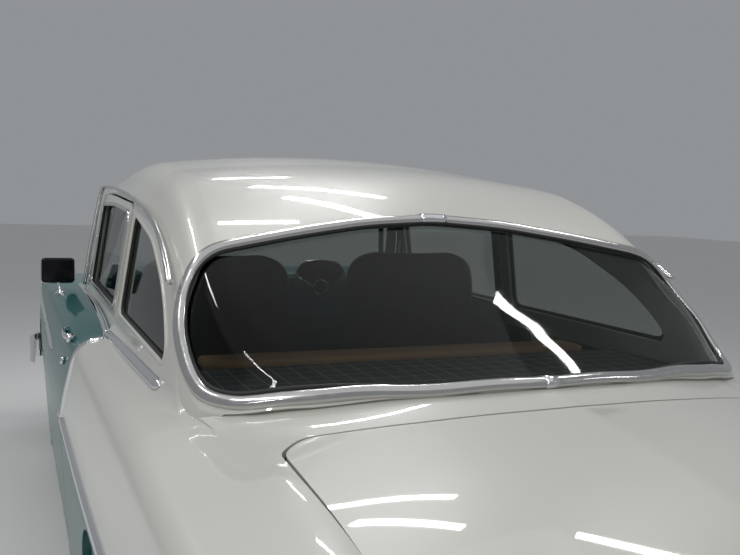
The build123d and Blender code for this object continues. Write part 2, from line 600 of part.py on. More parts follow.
def make_running_gear():
    """Engine, radiator, exhaust, tank, axle, springs and suspension arms."""
    engine = block(-230, 230, -100, 520, 330, 830) + block(-64, 64, 520, 1180, 290, 430)
    save("engine_block", engine)
    save("radiator", block(-286, 286, -370, -310, 384, 836))
    pipe = bent_rod([(-200, 300, 329), (-200, 420, 270), (-270, 800, 272), (-270, 1600, 272)], 24)
    pipe = pipe + rod((-270, 1500, 272), (-270, 2050, 272), 60)
    pipe = pipe + bent_rod([(-270, 2040, 272), (-270, 2360, 300), (-345, 2700, 450), (-345, 3130, 450), (-345, 3400, 330),
                            (-345, 4150, 330)], 23)
    save("exhaust", pipe - engine - rod((-345, 4010, 330), (-345, 4160, 330), 20))
    save("fuel_tank", fillet(block(-300, 370, 3450, 3900, 220, 416).edges(), 30))
    axle = x_cylinder(40, -600, 600, WHEELBASE, TYRE_RADIUS) + Pos(0, WHEELBASE, TYRE_RADIUS) * Sphere(135)
    half = x_cylinder(SPINDLE_RADIUS, 580, TRACK_REAR / 2 + 2, WHEELBASE, TYRE_RADIUS)
    shaft = rod((0, 1182, 385), (0, WHEELBASE - 100, TYRE_RADIUS), 36)
    save("rear_axle", axle + half + mirrored(half) + shaft)
    pieces = []
    spring = side_prism([(2330, 340, 0), (2921, 258, 700), (3490, 400, 0), (3490, 380, 0), (2921, 226, 700), (2330, 320, 0)], 480, 530)
    spring = spring + block(RAIL_OUTER_X, 500, 2330, 2350, 300, 320) + block(RAIL_OUTER_X, 500, 3470, 3490, 350, 385)
    pad = block(485, 525, WHEELBASE - 40, WHEELBASE + 40, 262, 300)
    spring = (spring + pad) - axle
    low = side_free_arm(225, 243, 150)
    high = side_free_arm(458, 474, 110)
    for piece in (spring, low, high):
        pieces.append(piece)
        pieces.append(mirrored(piece))
    save("suspension", *pieces)


def side_free_arm(z0, z1, base):
    """Wishbone from the left rail out to the kingpin line, with its ball stud."""
    arm = plan_prism([(RAIL_OUTER_X, -base, 0), (KINGPIN_X + 26, -24, 20), (KINGPIN_X + 26, 24, 20), (RAIL_OUTER_X, base, 0),
                      (RAIL_OUTER_X, base - 50, 0), (KINGPIN_X - 60, 0, 12), (RAIL_OUTER_X, 50 - base, 0)], z0, z1)
    if z1 < TYRE_RADIUS:
        return arm + z_cylinder(BALL_RADIUS, z0, KNUCKLE_LOW_Z + 22, KINGPIN_X, 0)
    return arm + z_cylinder(BALL_RADIUS, KNUCKLE_HIGH_Z - 22, z1, KINGPIN_X, 0)


def make_knuckles():
    """Steering knuckles: an upright on two ball studs, with the wheel spindle."""
    upright = block(KINGPIN_X - 22, KINGPIN_X + 22, -30, 30, KNUCKLE_LOW_Z, KNUCKLE_HIGH_Z)
    upright = fillet(upright.edges().filter_by(Axis.Z), 10)
    for z0, z1 in ((KNUCKLE_LOW_Z - 1, KNUCKLE_LOW_Z + 24), (KNUCKLE_HIGH_Z - 24, KNUCKLE_HIGH_Z + 1)):
        upright = upright - z_cylinder(BALL_RADIUS + PIN_CLEARANCE, z0, z1, KINGPIN_X, 0)
    shoulder = x_cylinder(30, KINGPIN_X + 10, TRACK_FRONT / 2 - DRUM_DEPTH - 4, 0, TYRE_RADIUS)
    spindle = x_cylinder(SPINDLE_RADIUS, KINGPIN_X + 10, TRACK_FRONT / 2 + 2, 0, TYRE_RADIUS)
    save_pair("knuckle", upright + shoulder + spindle)


def make_wheels():
    """Tyres, and rims with drum, disc and hub cap, at the four corners."""
    half = RIM_WIDTH / 2
    wide = TYRE_WIDTH / 2
    # Columns: half-width, radius
    tyre_half = [(half, RIM_RADIUS), (half, RIM_RADIUS + RIM_LIP + 2), (wide - 4, RIM_RADIUS + 50), (wide, RIM_RADIUS + 92),
                 (wide - 12, TYRE_RADIUS - 9), (TREAD_FLAT, TYRE_RADIUS)]
    tyre = turned([(x, r, 0) for x, r in tyre_half] + [(-x, r, 0) for x, r in reversed(tyre_half)])
    inner = RIM_RADIUS - PIN_CLEARANCE
    lip = inner + RIM_LIP
    rim = turned([(-half - 7, inner - 8, 0), (-half - 7, lip, 0), (-half - 0.5, lip, 0), (-half - 0.5, inner, 0),
                  (half + 0.5, inner, 0), (half + 0.5, lip, 0), (half + 7, lip, 0), (half + 7, inner - 8, 0)])
    bore = SPINDLE_RADIUS + PIN_CLEARANCE
    drum = turned([(-DRUM_DEPTH, bore, 0), (-DRUM_DEPTH, DRUM_RADIUS, 0), (14, DRUM_RADIUS, 0), (14, inner - 8, 0), (24, inner - 8, 0),
                   (40, HUBCAP_RADIUS + 24, 0), (30, HUBCAP_RADIUS, 0), (54, HUBCAP_RADIUS - 34, 0), (64, 0, 0),
                   (6, 0, 0), (6, bore, 0)])
    wheel = rim + drum
    for end, station, track in (("front", 0.0, TRACK_FRONT), ("rear", WHEELBASE, TRACK_REAR)):
        place = Pos(track / 2, station, TYRE_RADIUS)
        save_pair(f"tyre_{end}", place * tyre)
        save_pair(f"wheel_{end}", place * wheel)


def guard_post(x, s0, depth, z0, z1):
    """Upright bumper guard at a half-width, its top and foot rounded in front view."""
    outline = [(x - 26, z0, 20), (x - 34, z1 - 70, 200), (x - 22, z1, 21), (x + 22, z1, 21), (x + 34, z1 - 70, 200), (x + 26, z0, 20)]
    return front_prism(outline, s0, s0 + depth)


def make_ends():
    """Grille, bumpers and lamps."""
    surround = front_prism(full_outline([(0, 430, 0), (570, 430, 0), (570, 756, 0), (0, 756, 0)]), BODY_FRONT - 22, BODY_FRONT + 2)
    surround = surround - front_prism(full_outline([(0, 566, 0), (546, 566, 60), (546, 742, 60), (0, 742, 0)]), BODY_FRONT - 40, BODY_FRONT + 20)
    notch = block(389, 439, BODY_FRONT - 40, BODY_FRONT + 20, 424, 472)
    grille = surround - notch - mirrored(notch)
    for i in range(-8, 9):
        grille = grille + block(i * 62 - 3, i * 62 + 3, BODY_FRONT - 16, BODY_FRONT, 560, 748)
    for z in (600, 636, 672, 708):
        grille = grille + block(-550, 550, BODY_FRONT - 14, BODY_FRONT - 2, z - 3, z + 3)
    save("grille", grille)
    tip = -FRONT_OVERHANG
    face_s = tip + GUARD_FRONT_DEPTH
    wrap = BUMPER_HALF_WIDTH
    front = [(0, face_s, 0), (620, face_s, 700), (wrap, -700, 100), (wrap, -440, 0), (wrap - 26, -440, 0), (wrap - 26, -676, 80),
             (610, face_s + BUMPER_WALL, 700), (0, face_s + BUMPER_WALL, 0)]
    face = front_prism(full_outline([(0, 410, 0), (900, 410, 0), (980, 440, 0), (980, 520, 0), (900, 550, 0), (0, 550, 0)]), -900, 0)
    bumper = plan_prism(full_outline(front), 400, 560) & face
    horn = block(385, 443, face_s + BUMPER_WALL - 8, FRONT_HORN_STATION - 1, 424, 480)
    guard = guard_post(GUARD_FRONT_X, tip, GUARD_FRONT_DEPTH + 10, 385, 600)
    save("front_bumper", bumper + horn + mirrored(horn) + guard + mirrored(guard))
    tip = WHEELBASE + REAR_OVERHANG
    face_s = tip - GUARD_REAR_DEPTH
    rear = [(0, face_s, 0), (640, face_s, 700), (wrap, 4122, 95), (wrap, 3830, 0), (wrap - 26, 3830, 0), (wrap - 26, 4098, 70),
            (630, face_s - BUMPER_WALL, 700), (0, face_s - BUMPER_WALL, 0)]
    face = front_prism(full_outline([(0, 400, 0), (900, 400, 0), (980, 430, 0), (980, 510, 0), (900, 540, 0), (0, 540, 0)]), 3500, 4300)
    bumper = plan_prism(full_outline(rear), 380, 560) & face
    horn = block(385, 443, REAR_HORN_STATION + 1, face_s - BUMPER_WALL + 8, 372, 450)
    guard = guard_post(GUARD_REAR_X, tip - GUARD_REAR_DEPTH - 12, GUARD_REAR_DEPTH + 12, 380, 590)
    save("rear_bumper", bumper + horn + mirrored(horn) + guard + mirrored(guard))
    bucket = turned([(-30, 0, 0), (-30, LAMP_RADIUS - 0.5, 0), (40, LAMP_RADIUS - 0.5, 0), (40, LAMP_RADIUS + 12, 0), (58, LAMP_RADIUS + 6, 8),
                     (62, LAMP_RADIUS - 12, 0), (74, 0, 0)])
    head = Pos(LAMP_X, BODY_FRONT + 20, LAMP_Z) * Rot(0, 0, -90) * bucket
    parking = fillet(block(PARKING_X - 60, PARKING_X + 60, BODY_FRONT - 34, BODY_FRONT + 10, PARKING_Z - 30,
                           PARKING_Z + 30).edges().filter_by(Axis.Y), 24)
    save("head_lamps", head, mirrored(head), parking, mirrored(parking))
    back = BODY_REAR + TAIL_SHEET
    lamp = fillet(block(TAIL_LAMP_X - 45, TAIL_LAMP_X + 45, back, back + 40, TAIL_LAMP_Z - 80, TAIL_LAMP_Z + 80).edges().filter_by(Axis.Y), 40)
    dome = Pos(TAIL_LAMP_X, back + 40, TAIL_LAMP_Z + 34) * Rot(90, 0, 0) * Cone(24, 34, 24)
    reverse = Pos(TAIL_LAMP_X, back + 40, TAIL_LAMP_Z - 38) * Rot(90, 0, 0) * Cylinder(26, 16)
    lamp = lamp + dome + reverse
    save("tail_lamps", lamp, mirrored(lamp))


def make_cabin(floor, cowl):
    """Dashboard with the steering column, steering wheel and seats."""
    profile = [(FIREWALL_STATION, 760, 0), (860, 780, 30), (900, 850, 30), (892, 1050, 40), (800, 1100, 60), (700, 1000, 0),
               (FIREWALL_STATION, 980, 0)]
    dash = side_prism(profile, -672, 672)
    room = front_prism(full_outline([(0, 700, 0), (690, 700, 0), (690, 1000, 0), (600, 1110, 0), (0, 1130, 0)]), 500, 1000)
    under_glass = plan_prism(full_outline([(0, 700, 0), (430, 742, 0), (600, 830, 0), (690, 950, 0), (0, 950, 0)]), 1004, 1200)
    dash = dash & room & (under_glass + block(-700, 700, 500, 1000, 600, 1004))
    dash = dash - block(-690, 690, FIREWALL_STATION + 8, 850, 700, 900)
    hub = Vector(*STEERING_CENTRE)
    foot = Vector(*COLUMN_FOOT)
    lean = (hub - foot).normalized()
    column = rod(tuple(foot), tuple(hub - lean * 40), 24) + rod(tuple(foot), tuple(hub - lean * 12), 9)
    bracket = block(COLUMN_FOOT[0] - 20, COLUMN_FOOT[0] + 20, 830, 880, 690, 830)
    dash = max((dash - cowl).solids(), key=lambda s: s.volume)
    save("dashboard", dash + bracket + (column - floor))
    wheel_plane = Plane(origin=hub, x_dir=(1, 0, 0), z_dir=lean)
    ring = [(STEERING_RADIUS + 11 * cos(radians(a)), 11 * sin(radians(a)), 0) for a in range(0, 360, 45)]
    rim = revolve(Face(rounded_wire(ring, lambda p: Vector(p.X, 0, p.Y))), Axis.Z, 360)
    spokes = Box(2 * STEERING_RADIUS, 22, 8)
    boss = Pos(0, 0, -8) * Cylinder(34, 44) - Pos(0, 0, -20) * Cylinder(9 + PIN_CLEARANCE, 24)
    save("steering_wheel", wheel_plane * (rim + spokes + boss))
    seats = []
    for side in (1, -1):
        x0 = side * SEAT_CENTRE_X - SEAT_HALF_WIDTH
        x1 = side * SEAT_CENTRE_X + SEAT_HALF_WIDTH
        back = [(1640, 470, 0), (1700, 1190, 44), (1800, 1200, 44), (1800, 470, 0)]
        cushion = [(1176, 400, 30), (1170, 560, 50), (1650, 520, 0), (1800, 520, 0), (1800, 400, 30)]
        seats.append(side_prism(cushion, x0, x1) + side_prism(back, x0 + 20, x1 - 20) + block(x0 + 60, x1 - 60, 1240, 1740, FLOOR_Z, 402))
    save("front_seats", *seats)
    bench = [(1990, 400, 30), (1985, 570, 60), (2380, 520, 0), (2400, 985, 40), (2530, 985, 40), (2556, 600, 0),
             (2490, 570, 0), (2340, 400, 0)]
    save("rear_seat", side_prism(bench, -600, 600) - block(-136, 136, 1900, 2500, 300, TUNNEL_Z + 4))


if __name__ == "__main__":
    os.makedirs("parts", exist_ok=True)
    outer = greenhouse()
    shell = greenhouse_layer(0.0, ROOF_WALL)
    glass_shell = greenhouse_layer(GLASS_INSET, GLASS)
    gap_space = door_space(PANEL_GAP)
    make_fenders()
    make_doors(shell, glass_shell)
    quarter = make_quarters(outer, gap_space)
    make_roof(shell, gap_space, glass_shell)
    make_hood()
    make_lid(quarter, outer)
    floor = make_floor()
    cowl = make_cowl(outer)
    make_frame()
    make_running_gear()
    make_knuckles()
    make_wheels()
    make_ends()
    make_cabin(floor, cowl)
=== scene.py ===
# %% [markdown]
# # Dressing a 1950s two-door sedan
# The CAD model gives every piece its size, place and body. This script gives the car its looks:
# smooth skins in place of the faceted ones, wrapped glass, bright mouldings, two-tone paint,
# whitewall tyres and a trimmed cabin. Lengths in the tables are millimetres, measured like the CAD:
# x to the car's left, station rearwards from the front axle, z up from the ground.
#
# The frame is loaded first. A piece made here rides on a CAD body by name, and may stand for a CAD
# node, which is then hidden but still collides.

import json
import math

import bpy
import numpy as np
from mathutils import Matrix, Vector

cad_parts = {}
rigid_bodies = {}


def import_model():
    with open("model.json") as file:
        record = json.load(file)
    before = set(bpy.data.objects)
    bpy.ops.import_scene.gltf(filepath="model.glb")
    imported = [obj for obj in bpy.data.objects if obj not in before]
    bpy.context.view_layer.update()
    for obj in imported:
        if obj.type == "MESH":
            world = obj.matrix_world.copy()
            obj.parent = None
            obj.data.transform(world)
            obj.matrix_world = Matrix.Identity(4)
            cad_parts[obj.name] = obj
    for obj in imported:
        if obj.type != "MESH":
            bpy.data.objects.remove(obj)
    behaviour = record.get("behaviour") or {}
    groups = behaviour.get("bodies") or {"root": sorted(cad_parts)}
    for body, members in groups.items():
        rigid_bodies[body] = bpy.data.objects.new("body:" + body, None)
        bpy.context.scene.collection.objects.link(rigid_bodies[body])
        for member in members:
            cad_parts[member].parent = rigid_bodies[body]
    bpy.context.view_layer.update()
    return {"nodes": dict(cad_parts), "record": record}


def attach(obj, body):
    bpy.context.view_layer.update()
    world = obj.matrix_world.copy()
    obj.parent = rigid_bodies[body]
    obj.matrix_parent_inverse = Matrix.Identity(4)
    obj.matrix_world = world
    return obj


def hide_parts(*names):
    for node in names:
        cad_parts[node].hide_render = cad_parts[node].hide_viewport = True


for thing in list(bpy.data.objects):
    bpy.data.objects.remove(thing)
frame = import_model()

# %% [markdown]
# ## Finishes
# No real surface is one flat colour. Sprayed paint has orange peel, rubber and vinyl have a fine
# relief, polished metal has a gloss that drifts. An image could hold all that, but it would need UV
# maps on every piece. Noise read from Object coordinates needs none, and it keeps its scale from
# piece to piece. So one helper unevens any Principled material: roughness, relief and brightness.

# %% Uneven a finish
# Grain of sprayed paint: scale, swing of the roughness, relief in metres
ORANGE_PEEL = (320.0, 0.05, 0.00003)


def grained(made, scale, swing=0.0, relief=0.0, tone=0.0, stretch=(1.0, 1.0, 1.0)):
    """Uneven a finish with noise of a scale: roughness by swing, relief in metres, brightness by tone.
    stretch draws the noise out along an axis, as brushing does."""
    nodes, links = made.node_tree.nodes, made.node_tree.links
    shader = nodes["Principled BSDF"]
    place = nodes.new("ShaderNodeTexCoord")
    drawn = nodes.new("ShaderNodeMapping")
    drawn.inputs["Scale"].default_value = stretch
    noise = nodes.new("ShaderNodeTexNoise")
    noise.inputs["Scale"].default_value = scale
    noise.inputs["Detail"].default_value = 4.0
    links.new(place.outputs["Object"], drawn.inputs["Vector"])
    links.new(drawn.outputs["Vector"], noise.inputs["Vector"])
    if swing:
        middle = shader.inputs["Roughness"].default_value
        spread = nodes.new("ShaderNodeMapRange")
        spread.inputs["From Min"].default_value = 0.3
        spread.inputs["From Max"].default_value = 0.7
        spread.inputs["To Min"].default_value = max(middle - swing, 0.02)
        spread.inputs["To Max"].default_value = min(middle + swing, 1.0)
        links.new(noise.outputs["Fac"], spread.inputs["Value"])
        links.new(spread.outputs["Result"], shader.inputs["Roughness"])
    if relief:
        raised = nodes.new("ShaderNodeBump")
        raised.inputs["Strength"].default_value = 0.6
        raised.inputs["Distance"].default_value = relief
        links.new(noise.outputs["Fac"], raised.inputs["Height"])
        links.new(raised.outputs["Normal"], shader.inputs["Normal"])
    if tone:
        colour = shader.inputs["Base Color"].default_value
        mix = nodes.new("ShaderNodeMix")
        mix.data_type = "RGBA"
        mix.inputs["A"].default_value = [c * (1 - tone) for c in colour[:3]] + [1.0]
        mix.inputs["B"].default_value = [min(c * (1 + tone), 1.0) for c in colour[:3]] + [1.0]
        links.new(noise.outputs["Fac"], mix.inputs["Factor"])
        links.new(mix.outputs["Result"], shader.inputs["Base Color"])
    return made


print("noise can uneven a finish")

# %% [markdown]
# Every finish starts from the same few numbers of the Principled shader: colour, metal or not, roughness
# and clear coat. A helper keeps each one on a line of its own, and hands its grain on.

# %% Mix a finish
COAT_ROUGHNESS = 0.03


def material(name, colour, metallic=0.0, roughness=0.4, coat=0.0, grain=None, **more):
    """A Principled material. grain is handed to grained, and more sets sockets by name, _ for a space."""
    made = bpy.data.materials.new(name)
    made.use_nodes = True
    shader = made.node_tree.nodes["Principled BSDF"]
    shader.inputs["Base Color"].default_value = colour
    shader.inputs["Metallic"].default_value = metallic
    shader.inputs["Roughness"].default_value = roughness
    shader.inputs["Coat Weight"].default_value = coat
    shader.inputs["Coat Roughness"].default_value = COAT_ROUGHNESS
    for key, value in more.items():
        shader.inputs[key.replace("_", " ")].default_value = value
    made.diffuse_color = colour
    if grain:
        grained(made, *grain)
    return made


print("clear coat's roughness:", COAT_ROUGHNESS)

# %% [markdown]
# ## Paint
# The ivory is plain enamel under a glossy coat. The teal is metallic paint: tiny flakes lie in the
# colour, so its brightness is broken up by very fine noise before the coat goes over it. The two
# colours meet under bright strips, so each panel has one colour and no pattern has to line up.

# %% Mix the paints
TEAL = (0.007, 0.095, 0.092, 1.0)
IVORY = (0.63, 0.62, 0.565, 1.0)
FLAKE_SCALE = 900.0


def metal_flake(name, colour):
    """Metallic paint under a clear coat, with a fine flake in its brightness."""
    made = material(name, colour, metallic=0.2, roughness=0.42, coat=0.5, grain=ORANGE_PEEL,
                    Specular_IOR_Level=0.25)
    nodes, links = made.node_tree.nodes, made.node_tree.links
    place = nodes.new("ShaderNodeTexCoord")
    noise = nodes.new("ShaderNodeTexNoise")
    noise.inputs["Scale"].default_value = FLAKE_SCALE
    flakes = nodes.new("ShaderNodeMix")
    flakes.data_type = "RGBA"
    flakes.inputs["A"].default_value = tuple(c * 0.8 for c in colour[:3]) + (1.0,)
    flakes.inputs["B"].default_value = tuple(min(c * 1.5, 1.0) for c in colour[:3]) + (1.0,)
    links.new(place.outputs["Object"], noise.inputs["Vector"])
    links.new(noise.outputs["Fac"], flakes.inputs["Factor"])
    links.new(flakes.outputs["Result"], nodes["Principled BSDF"].inputs["Base Color"])
    return made


teal = metal_flake("Teal metallic", TEAL)
ivory = material("Ivory white", IVORY, roughness=0.35, coat=1.0, grain=ORANGE_PEEL)
dash_teal = material("Dash teal", (0.02, 0.155, 0.15, 1.0), roughness=0.3, coat=0.6, grain=ORANGE_PEEL)
print("paints:", teal.name, ivory.name, dash_teal.name)

# %% [markdown]
# ## Metal, rubber, vinyl and lenses
# Chrome plate is a nearly perfect mirror, while the stainless mouldings are duller and a little
# brushed. Rubber, vinyl and the chassis' black paint are told apart by roughness and relief rather
# than by colour, because all of them are nearly black. The grain column of each line is its scale,
# the swing of its roughness, its relief in metres and its change of tone.

# %% Mix the other finishes
chrome = material("Chrome", (0.78, 0.78, 0.80, 1.0), metallic=1.0, roughness=0.07, grain=(34.0, 0.035))
stainless = material("Stainless moulding", (0.62, 0.61, 0.60, 1.0), metallic=1.0, roughness=0.16,
                     grain=(60.0, 0.07, 0, 0.06))
dull_steel = material("Dull steel", (0.30, 0.28, 0.26, 1.0), metallic=0.8, roughness=0.45,
                      grain=(26.0, 0.18, 0.0002, 0.3))
dash_silver = material("Dash silver", (0.20, 0.21, 0.21, 1.0), metallic=0.6, roughness=0.4,
                       grain=(300.0, 0.08, 0.0001, 0.1))
engine_grey = material("Engine enamel", (0.16, 0.17, 0.18, 1.0), roughness=0.45,
                       grain=(45.0, 0.12, 0.0006, 0.2))
frame_black = material("Chassis black", (0.02, 0.02, 0.021, 1.0), roughness=0.5,
                       grain=(22.0, 0.15, 0.0003, 0.4))
primer = material("Dark primer", (0.035, 0.035, 0.037, 1.0), roughness=0.7, grain=(30.0, 0.12, 0.0002, 0.25))
black_rubber = material("Black rubber", (0.012, 0.012, 0.012, 1.0), roughness=0.6,
                        grain=(260.0, 0.12, 0.0002, 0.3))
tyre_black = material("Tyre black", (0.018, 0.018, 0.018, 1.0), roughness=0.75,
                      grain=(55.0, 0.10, 0.0003, 0.35))
whitewall = material("Whitewall", (0.75, 0.74, 0.70, 1.0), roughness=0.55, grain=(38.0, 0.10, 0.0002, 0.05))
headliner = material("Headliner", (0.42, 0.42, 0.40, 1.0), roughness=0.9, grain=(420.0, 0.05, 0.0005, 0.08))
seat_black = material("Black seat vinyl", (0.008, 0.008, 0.009, 1.0), roughness=0.55,
                      grain=(90.0, 0.08, 0.00006, 0.2), Specular_IOR_Level=0.35)
seat_grey = material("Dark grey trim", (0.05, 0.055, 0.06, 1.0), roughness=0.7,
                     grain=(380.0, 0.10, 0.0004, 0.2))
black_plastic = material("Black plastic", (0.010, 0.010, 0.010, 1.0), roughness=0.22,
                         grain=(120.0, 0.08, 0.00004))
red_lens = material("Red lens", (0.42, 0.008, 0.006, 1.0), roughness=0.12, coat=1.0,
                    grain=(90.0, 0.05, 0.0006, 0.2))
lamp_lens = material("Lamp lens", (0.88, 0.90, 0.92, 1.0), metallic=0.3, roughness=0.12, coat=1.0,
                     grain=(70.0, 0.05, 0.0008, 0.05, (1.0, 1.0, 0.1)))
print("materials so far:", len(bpy.data.materials))

# %% [markdown]
# ## Glass
# A pane is a thin shell. Real refraction through two faces five millimetres apart only costs render
# time and goes dark in a closed cabin, so the pane is a tinted Transparent shader with a mirror over
# it. Fresnel makes the mirror grow towards the edge of view. Only the face that is seen from in front
# has the mirror, because the far face of the shell would add a second, false one. A film of dust,
# drawn with noise, softens the mirror in places.

# %% Mix the glass
GLASS_IOR = 1.32


def window_glass(name, tint):
    """Thin tinted glass with a mirror on the faces that are seen from in front."""
    made = bpy.data.materials.new(name)
    made.use_nodes = True
    nodes, links = made.node_tree.nodes, made.node_tree.links
    nodes.remove(nodes["Principled BSDF"])
    clear = nodes.new("ShaderNodeBsdfTransparent")
    clear.inputs["Color"].default_value = tint
    gloss = nodes.new("ShaderNodeBsdfGlossy")
    place = nodes.new("ShaderNodeTexCoord")
    film = nodes.new("ShaderNodeTexNoise")
    film.inputs["Scale"].default_value = 9.0
    haze = nodes.new("ShaderNodeMapRange")
    haze.inputs["From Min"].default_value = 0.35
    haze.inputs["From Max"].default_value = 0.75
    haze.inputs["To Min"].default_value = 0.012
    haze.inputs["To Max"].default_value = 0.05
    edge = nodes.new("ShaderNodeFresnel")
    edge.inputs["IOR"].default_value = GLASS_IOR
    side = nodes.new("ShaderNodeNewGeometry")
    outer = nodes.new("ShaderNodeMath")
    outer.operation = "SUBTRACT"
    outer.inputs[0].default_value = 1.0
    share = nodes.new("ShaderNodeMath")
    share.operation = "MULTIPLY"
    mix = nodes.new("ShaderNodeMixShader")
    links.new(place.outputs["Object"], film.inputs["Vector"])
    links.new(film.outputs["Fac"], haze.inputs["Value"])
    links.new(haze.outputs["Result"], gloss.inputs["Roughness"])
    links.new(side.outputs["Backfacing"], outer.inputs[1])
    links.new(edge.outputs[0], share.inputs[0])
    links.new(outer.outputs[0], share.inputs[1])
    links.new(share.outputs[0], mix.inputs[0])
    links.new(clear.outputs[0], mix.inputs[1])
    links.new(gloss.outputs[0], mix.inputs[2])
    links.new(mix.outputs[0], nodes["Material Output"].inputs["Surface"])
    made.diffuse_color = tint
    return made


clear_glass = window_glass("Window glass", (0.72, 0.74, 0.73, 1.0))
print("glass:", clear_glass.name)

# %% [markdown]
# ## Smooth curves and outlines
# Body panels are drawn the way a body draughtsman draws them: a few sections across the car, and fair
# curves that run through them. Blender's subdivision surfaces could make such a form, but they pull
# away from the points they are given. Here a table holds the sections, and a curve that swings past
# none of its points joins them. A section is an outline of corners with radii.

# %% Draw a smooth curve
def eased(xs, ys, at):
    """Smooth curve through the points (xs, ys) that swings past none of them, read at the places at."""
    xs, ys, at = (np.asarray(v, float) for v in (xs, ys, at))
    gaps = np.diff(xs)
    slopes = np.diff(ys) / gaps
    tangent = np.concatenate([[slopes[0]], np.zeros(len(xs) - 2), [slopes[-1]]])
    tangent[1:-1] = (slopes[:-1] * gaps[1:] + slopes[1:] * gaps[:-1]) / (gaps[:-1] + gaps[1:])
    for i, slope in enumerate(slopes):
        for j in (i, i + 1):
            limit = 3 * slope
            tangent[j] = min(max(tangent[j], min(0, limit)), max(0, limit))
    i = np.clip(np.searchsorted(xs, at) - 1, 0, len(gaps) - 1)
    t = (at - xs[i]) / gaps[i]
    return ((2 * t**3 - 3 * t**2 + 1) * ys[i] + (t**3 - 2 * t**2 + t) * gaps[i] * tangent[i]
            + (3 * t**2 - 2 * t**3) * ys[i + 1] + (t**3 - t**2) * gaps[i] * tangent[i + 1])


def smooth_step(t):
    """t from nought to one, with a level start and end."""
    return t * t * (3 - 2 * t)


print("a curve that rises and then runs level, read between:", float(eased([0, 1, 2], [0, 1, 1], 0.5)))

# %% [markdown]
# An outline could be a Bezier curve, but a draughtsman names corners and radii, and the CAD does too. So
# each corner gives way to an arc. The straights between the arcs get a set number of steps, which keeps
# the points of neighbouring outlines in line.

# %% Draw an outline
SQUARE = [(0, 0, 10), (100, 0, 10), (100, 100, 10), (0, 100, 10)]


def round_path(corners, runs, arc=8, closed=False):
    """Points along an outline of corners (a, b, radius). runs is the number of steps on each straight."""
    count = len(corners)
    spots = np.array([c[:2] for c in corners], float)
    stops = []
    for i in range(count):
        here, r = spots[i], corners[i][2]
        if not closed and i in (0, count - 1) or r <= 0:
            stops.append([here])
            continue
        before, after = spots[i - 1] - here, spots[(i + 1) % count] - here
        near = min(np.linalg.norm(before), np.linalg.norm(after)) * 0.48
        before, after = before / np.linalg.norm(before), after / np.linalg.norm(after)
        angle = math.acos(np.clip(before @ after, -1, 1))
        if angle > math.pi - 1e-3:
            stops.append([here] * (arc + 1))
            continue
        reach = min(r / math.tan(angle / 2), near)
        radius = reach * math.tan(angle / 2)
        middle = here + (before + after) / np.linalg.norm(before + after) * radius / math.sin(angle / 2)
        start, end = here + before * reach - middle, here + after * reach - middle
        sweep = math.pi - angle
        sweep = sweep if start[0] * end[1] - start[1] * end[0] > 0 else -sweep
        stops.append([middle + np.array([start[0] * math.cos(t) - start[1] * math.sin(t),
                                         start[0] * math.sin(t) + start[1] * math.cos(t)])
                      for t in np.linspace(0, sweep, arc + 1)])
    path = []
    for i, stop in enumerate(stops):
        path.extend(stop)
        if i < count - 1 or closed:
            goal = stops[(i + 1) % count][0]
            steps = runs[i % len(runs)]
            path.extend(stop[-1] + (goal - stop[-1]) * k / steps for k in range(1, steps))
    return np.array(path)


print("points round a soft square:", len(round_path(SQUARE, [1], closed=True)))

# %% [markdown]
# To cut with an outline, one has to know for any point how deep it lies inside. The distance is the
# shortest one to the outline's edges. The sign comes from a ray: a point is inside when the ray to one
# side of it crosses the outline an odd number of times.

# %% Measure how deep points lie in an outline
def inside(a, b, outline):
    """Signed distance from the points (a, b) to an outline of corners, above nought inside it."""
    ring = round_path(outline, [1], arc=10, closed=True)
    p = np.stack([np.ravel(a), np.ravel(b)], -1)
    best = np.full(len(p), 1e9)
    crossings = np.zeros(len(p), int)
    for start, end in zip(ring, np.roll(ring, -1, 0)):
        span = end - start
        length2 = span @ span
        if length2 < 1e-9:
            continue
        t = np.clip(((p - start) @ span) / length2, 0, 1)
        best = np.minimum(best, np.linalg.norm(p - start - t[:, None] * span, axis=1))
        straddles = (start[1] > p[:, 1]) != (end[1] > p[:, 1])
        if span[1] != 0:
            crossings += straddles & (p[:, 0] < start[0] + (p[:, 1] - start[1]) * span[0] / span[1])
    return (np.where(crossings % 2 == 1, best, -best)).reshape(np.shape(a))


print("depth of the square's middle:", float(inside(50, 50, SQUARE)))

# %% [markdown]
# ## Panels
# A sheet-metal panel is a surface with a clean edge. A boolean could cut that edge, but on a fine skin
# it is slow and leaves slivers. So the skin is a grid of points, and a measure is worked out at each
# of them: above nought where metal stays. Every face that the zero line crosses is cut just there.
# The cut sheet then gets a second face, its wall thickness inwards, and walls round its rims.

# %% Places and normals of a grid
MID_STATION = 1688.0


def to_frame(points):
    """Millimetres (x, station, z) to metres in the row's frame."""
    points = np.asarray(points, float)
    return np.stack([points[..., 0], points[..., 1] - MID_STATION, points[..., 2]], -1) / 1000


def unit(vectors):
    """The vectors at length one. Those without a length stay as they are."""
    size = np.linalg.norm(vectors, axis=-1, keepdims=True)
    return vectors / np.where(size < 1e-9, 1, size)


def grid_normals(grid):
    """Unit normals of a grid of points."""
    return unit(np.cross(np.gradient(grid, axis=0), np.gradient(grid, axis=1)))


print("middle of the front axle in the frame:", to_frame((0, 0, 346)))

# %% [markdown]
# The cut goes round each small face of the grid. A corner that stays is taken over, and where an edge
# passes through nought a new point is set, so the cut is as clean as the line that is measured.

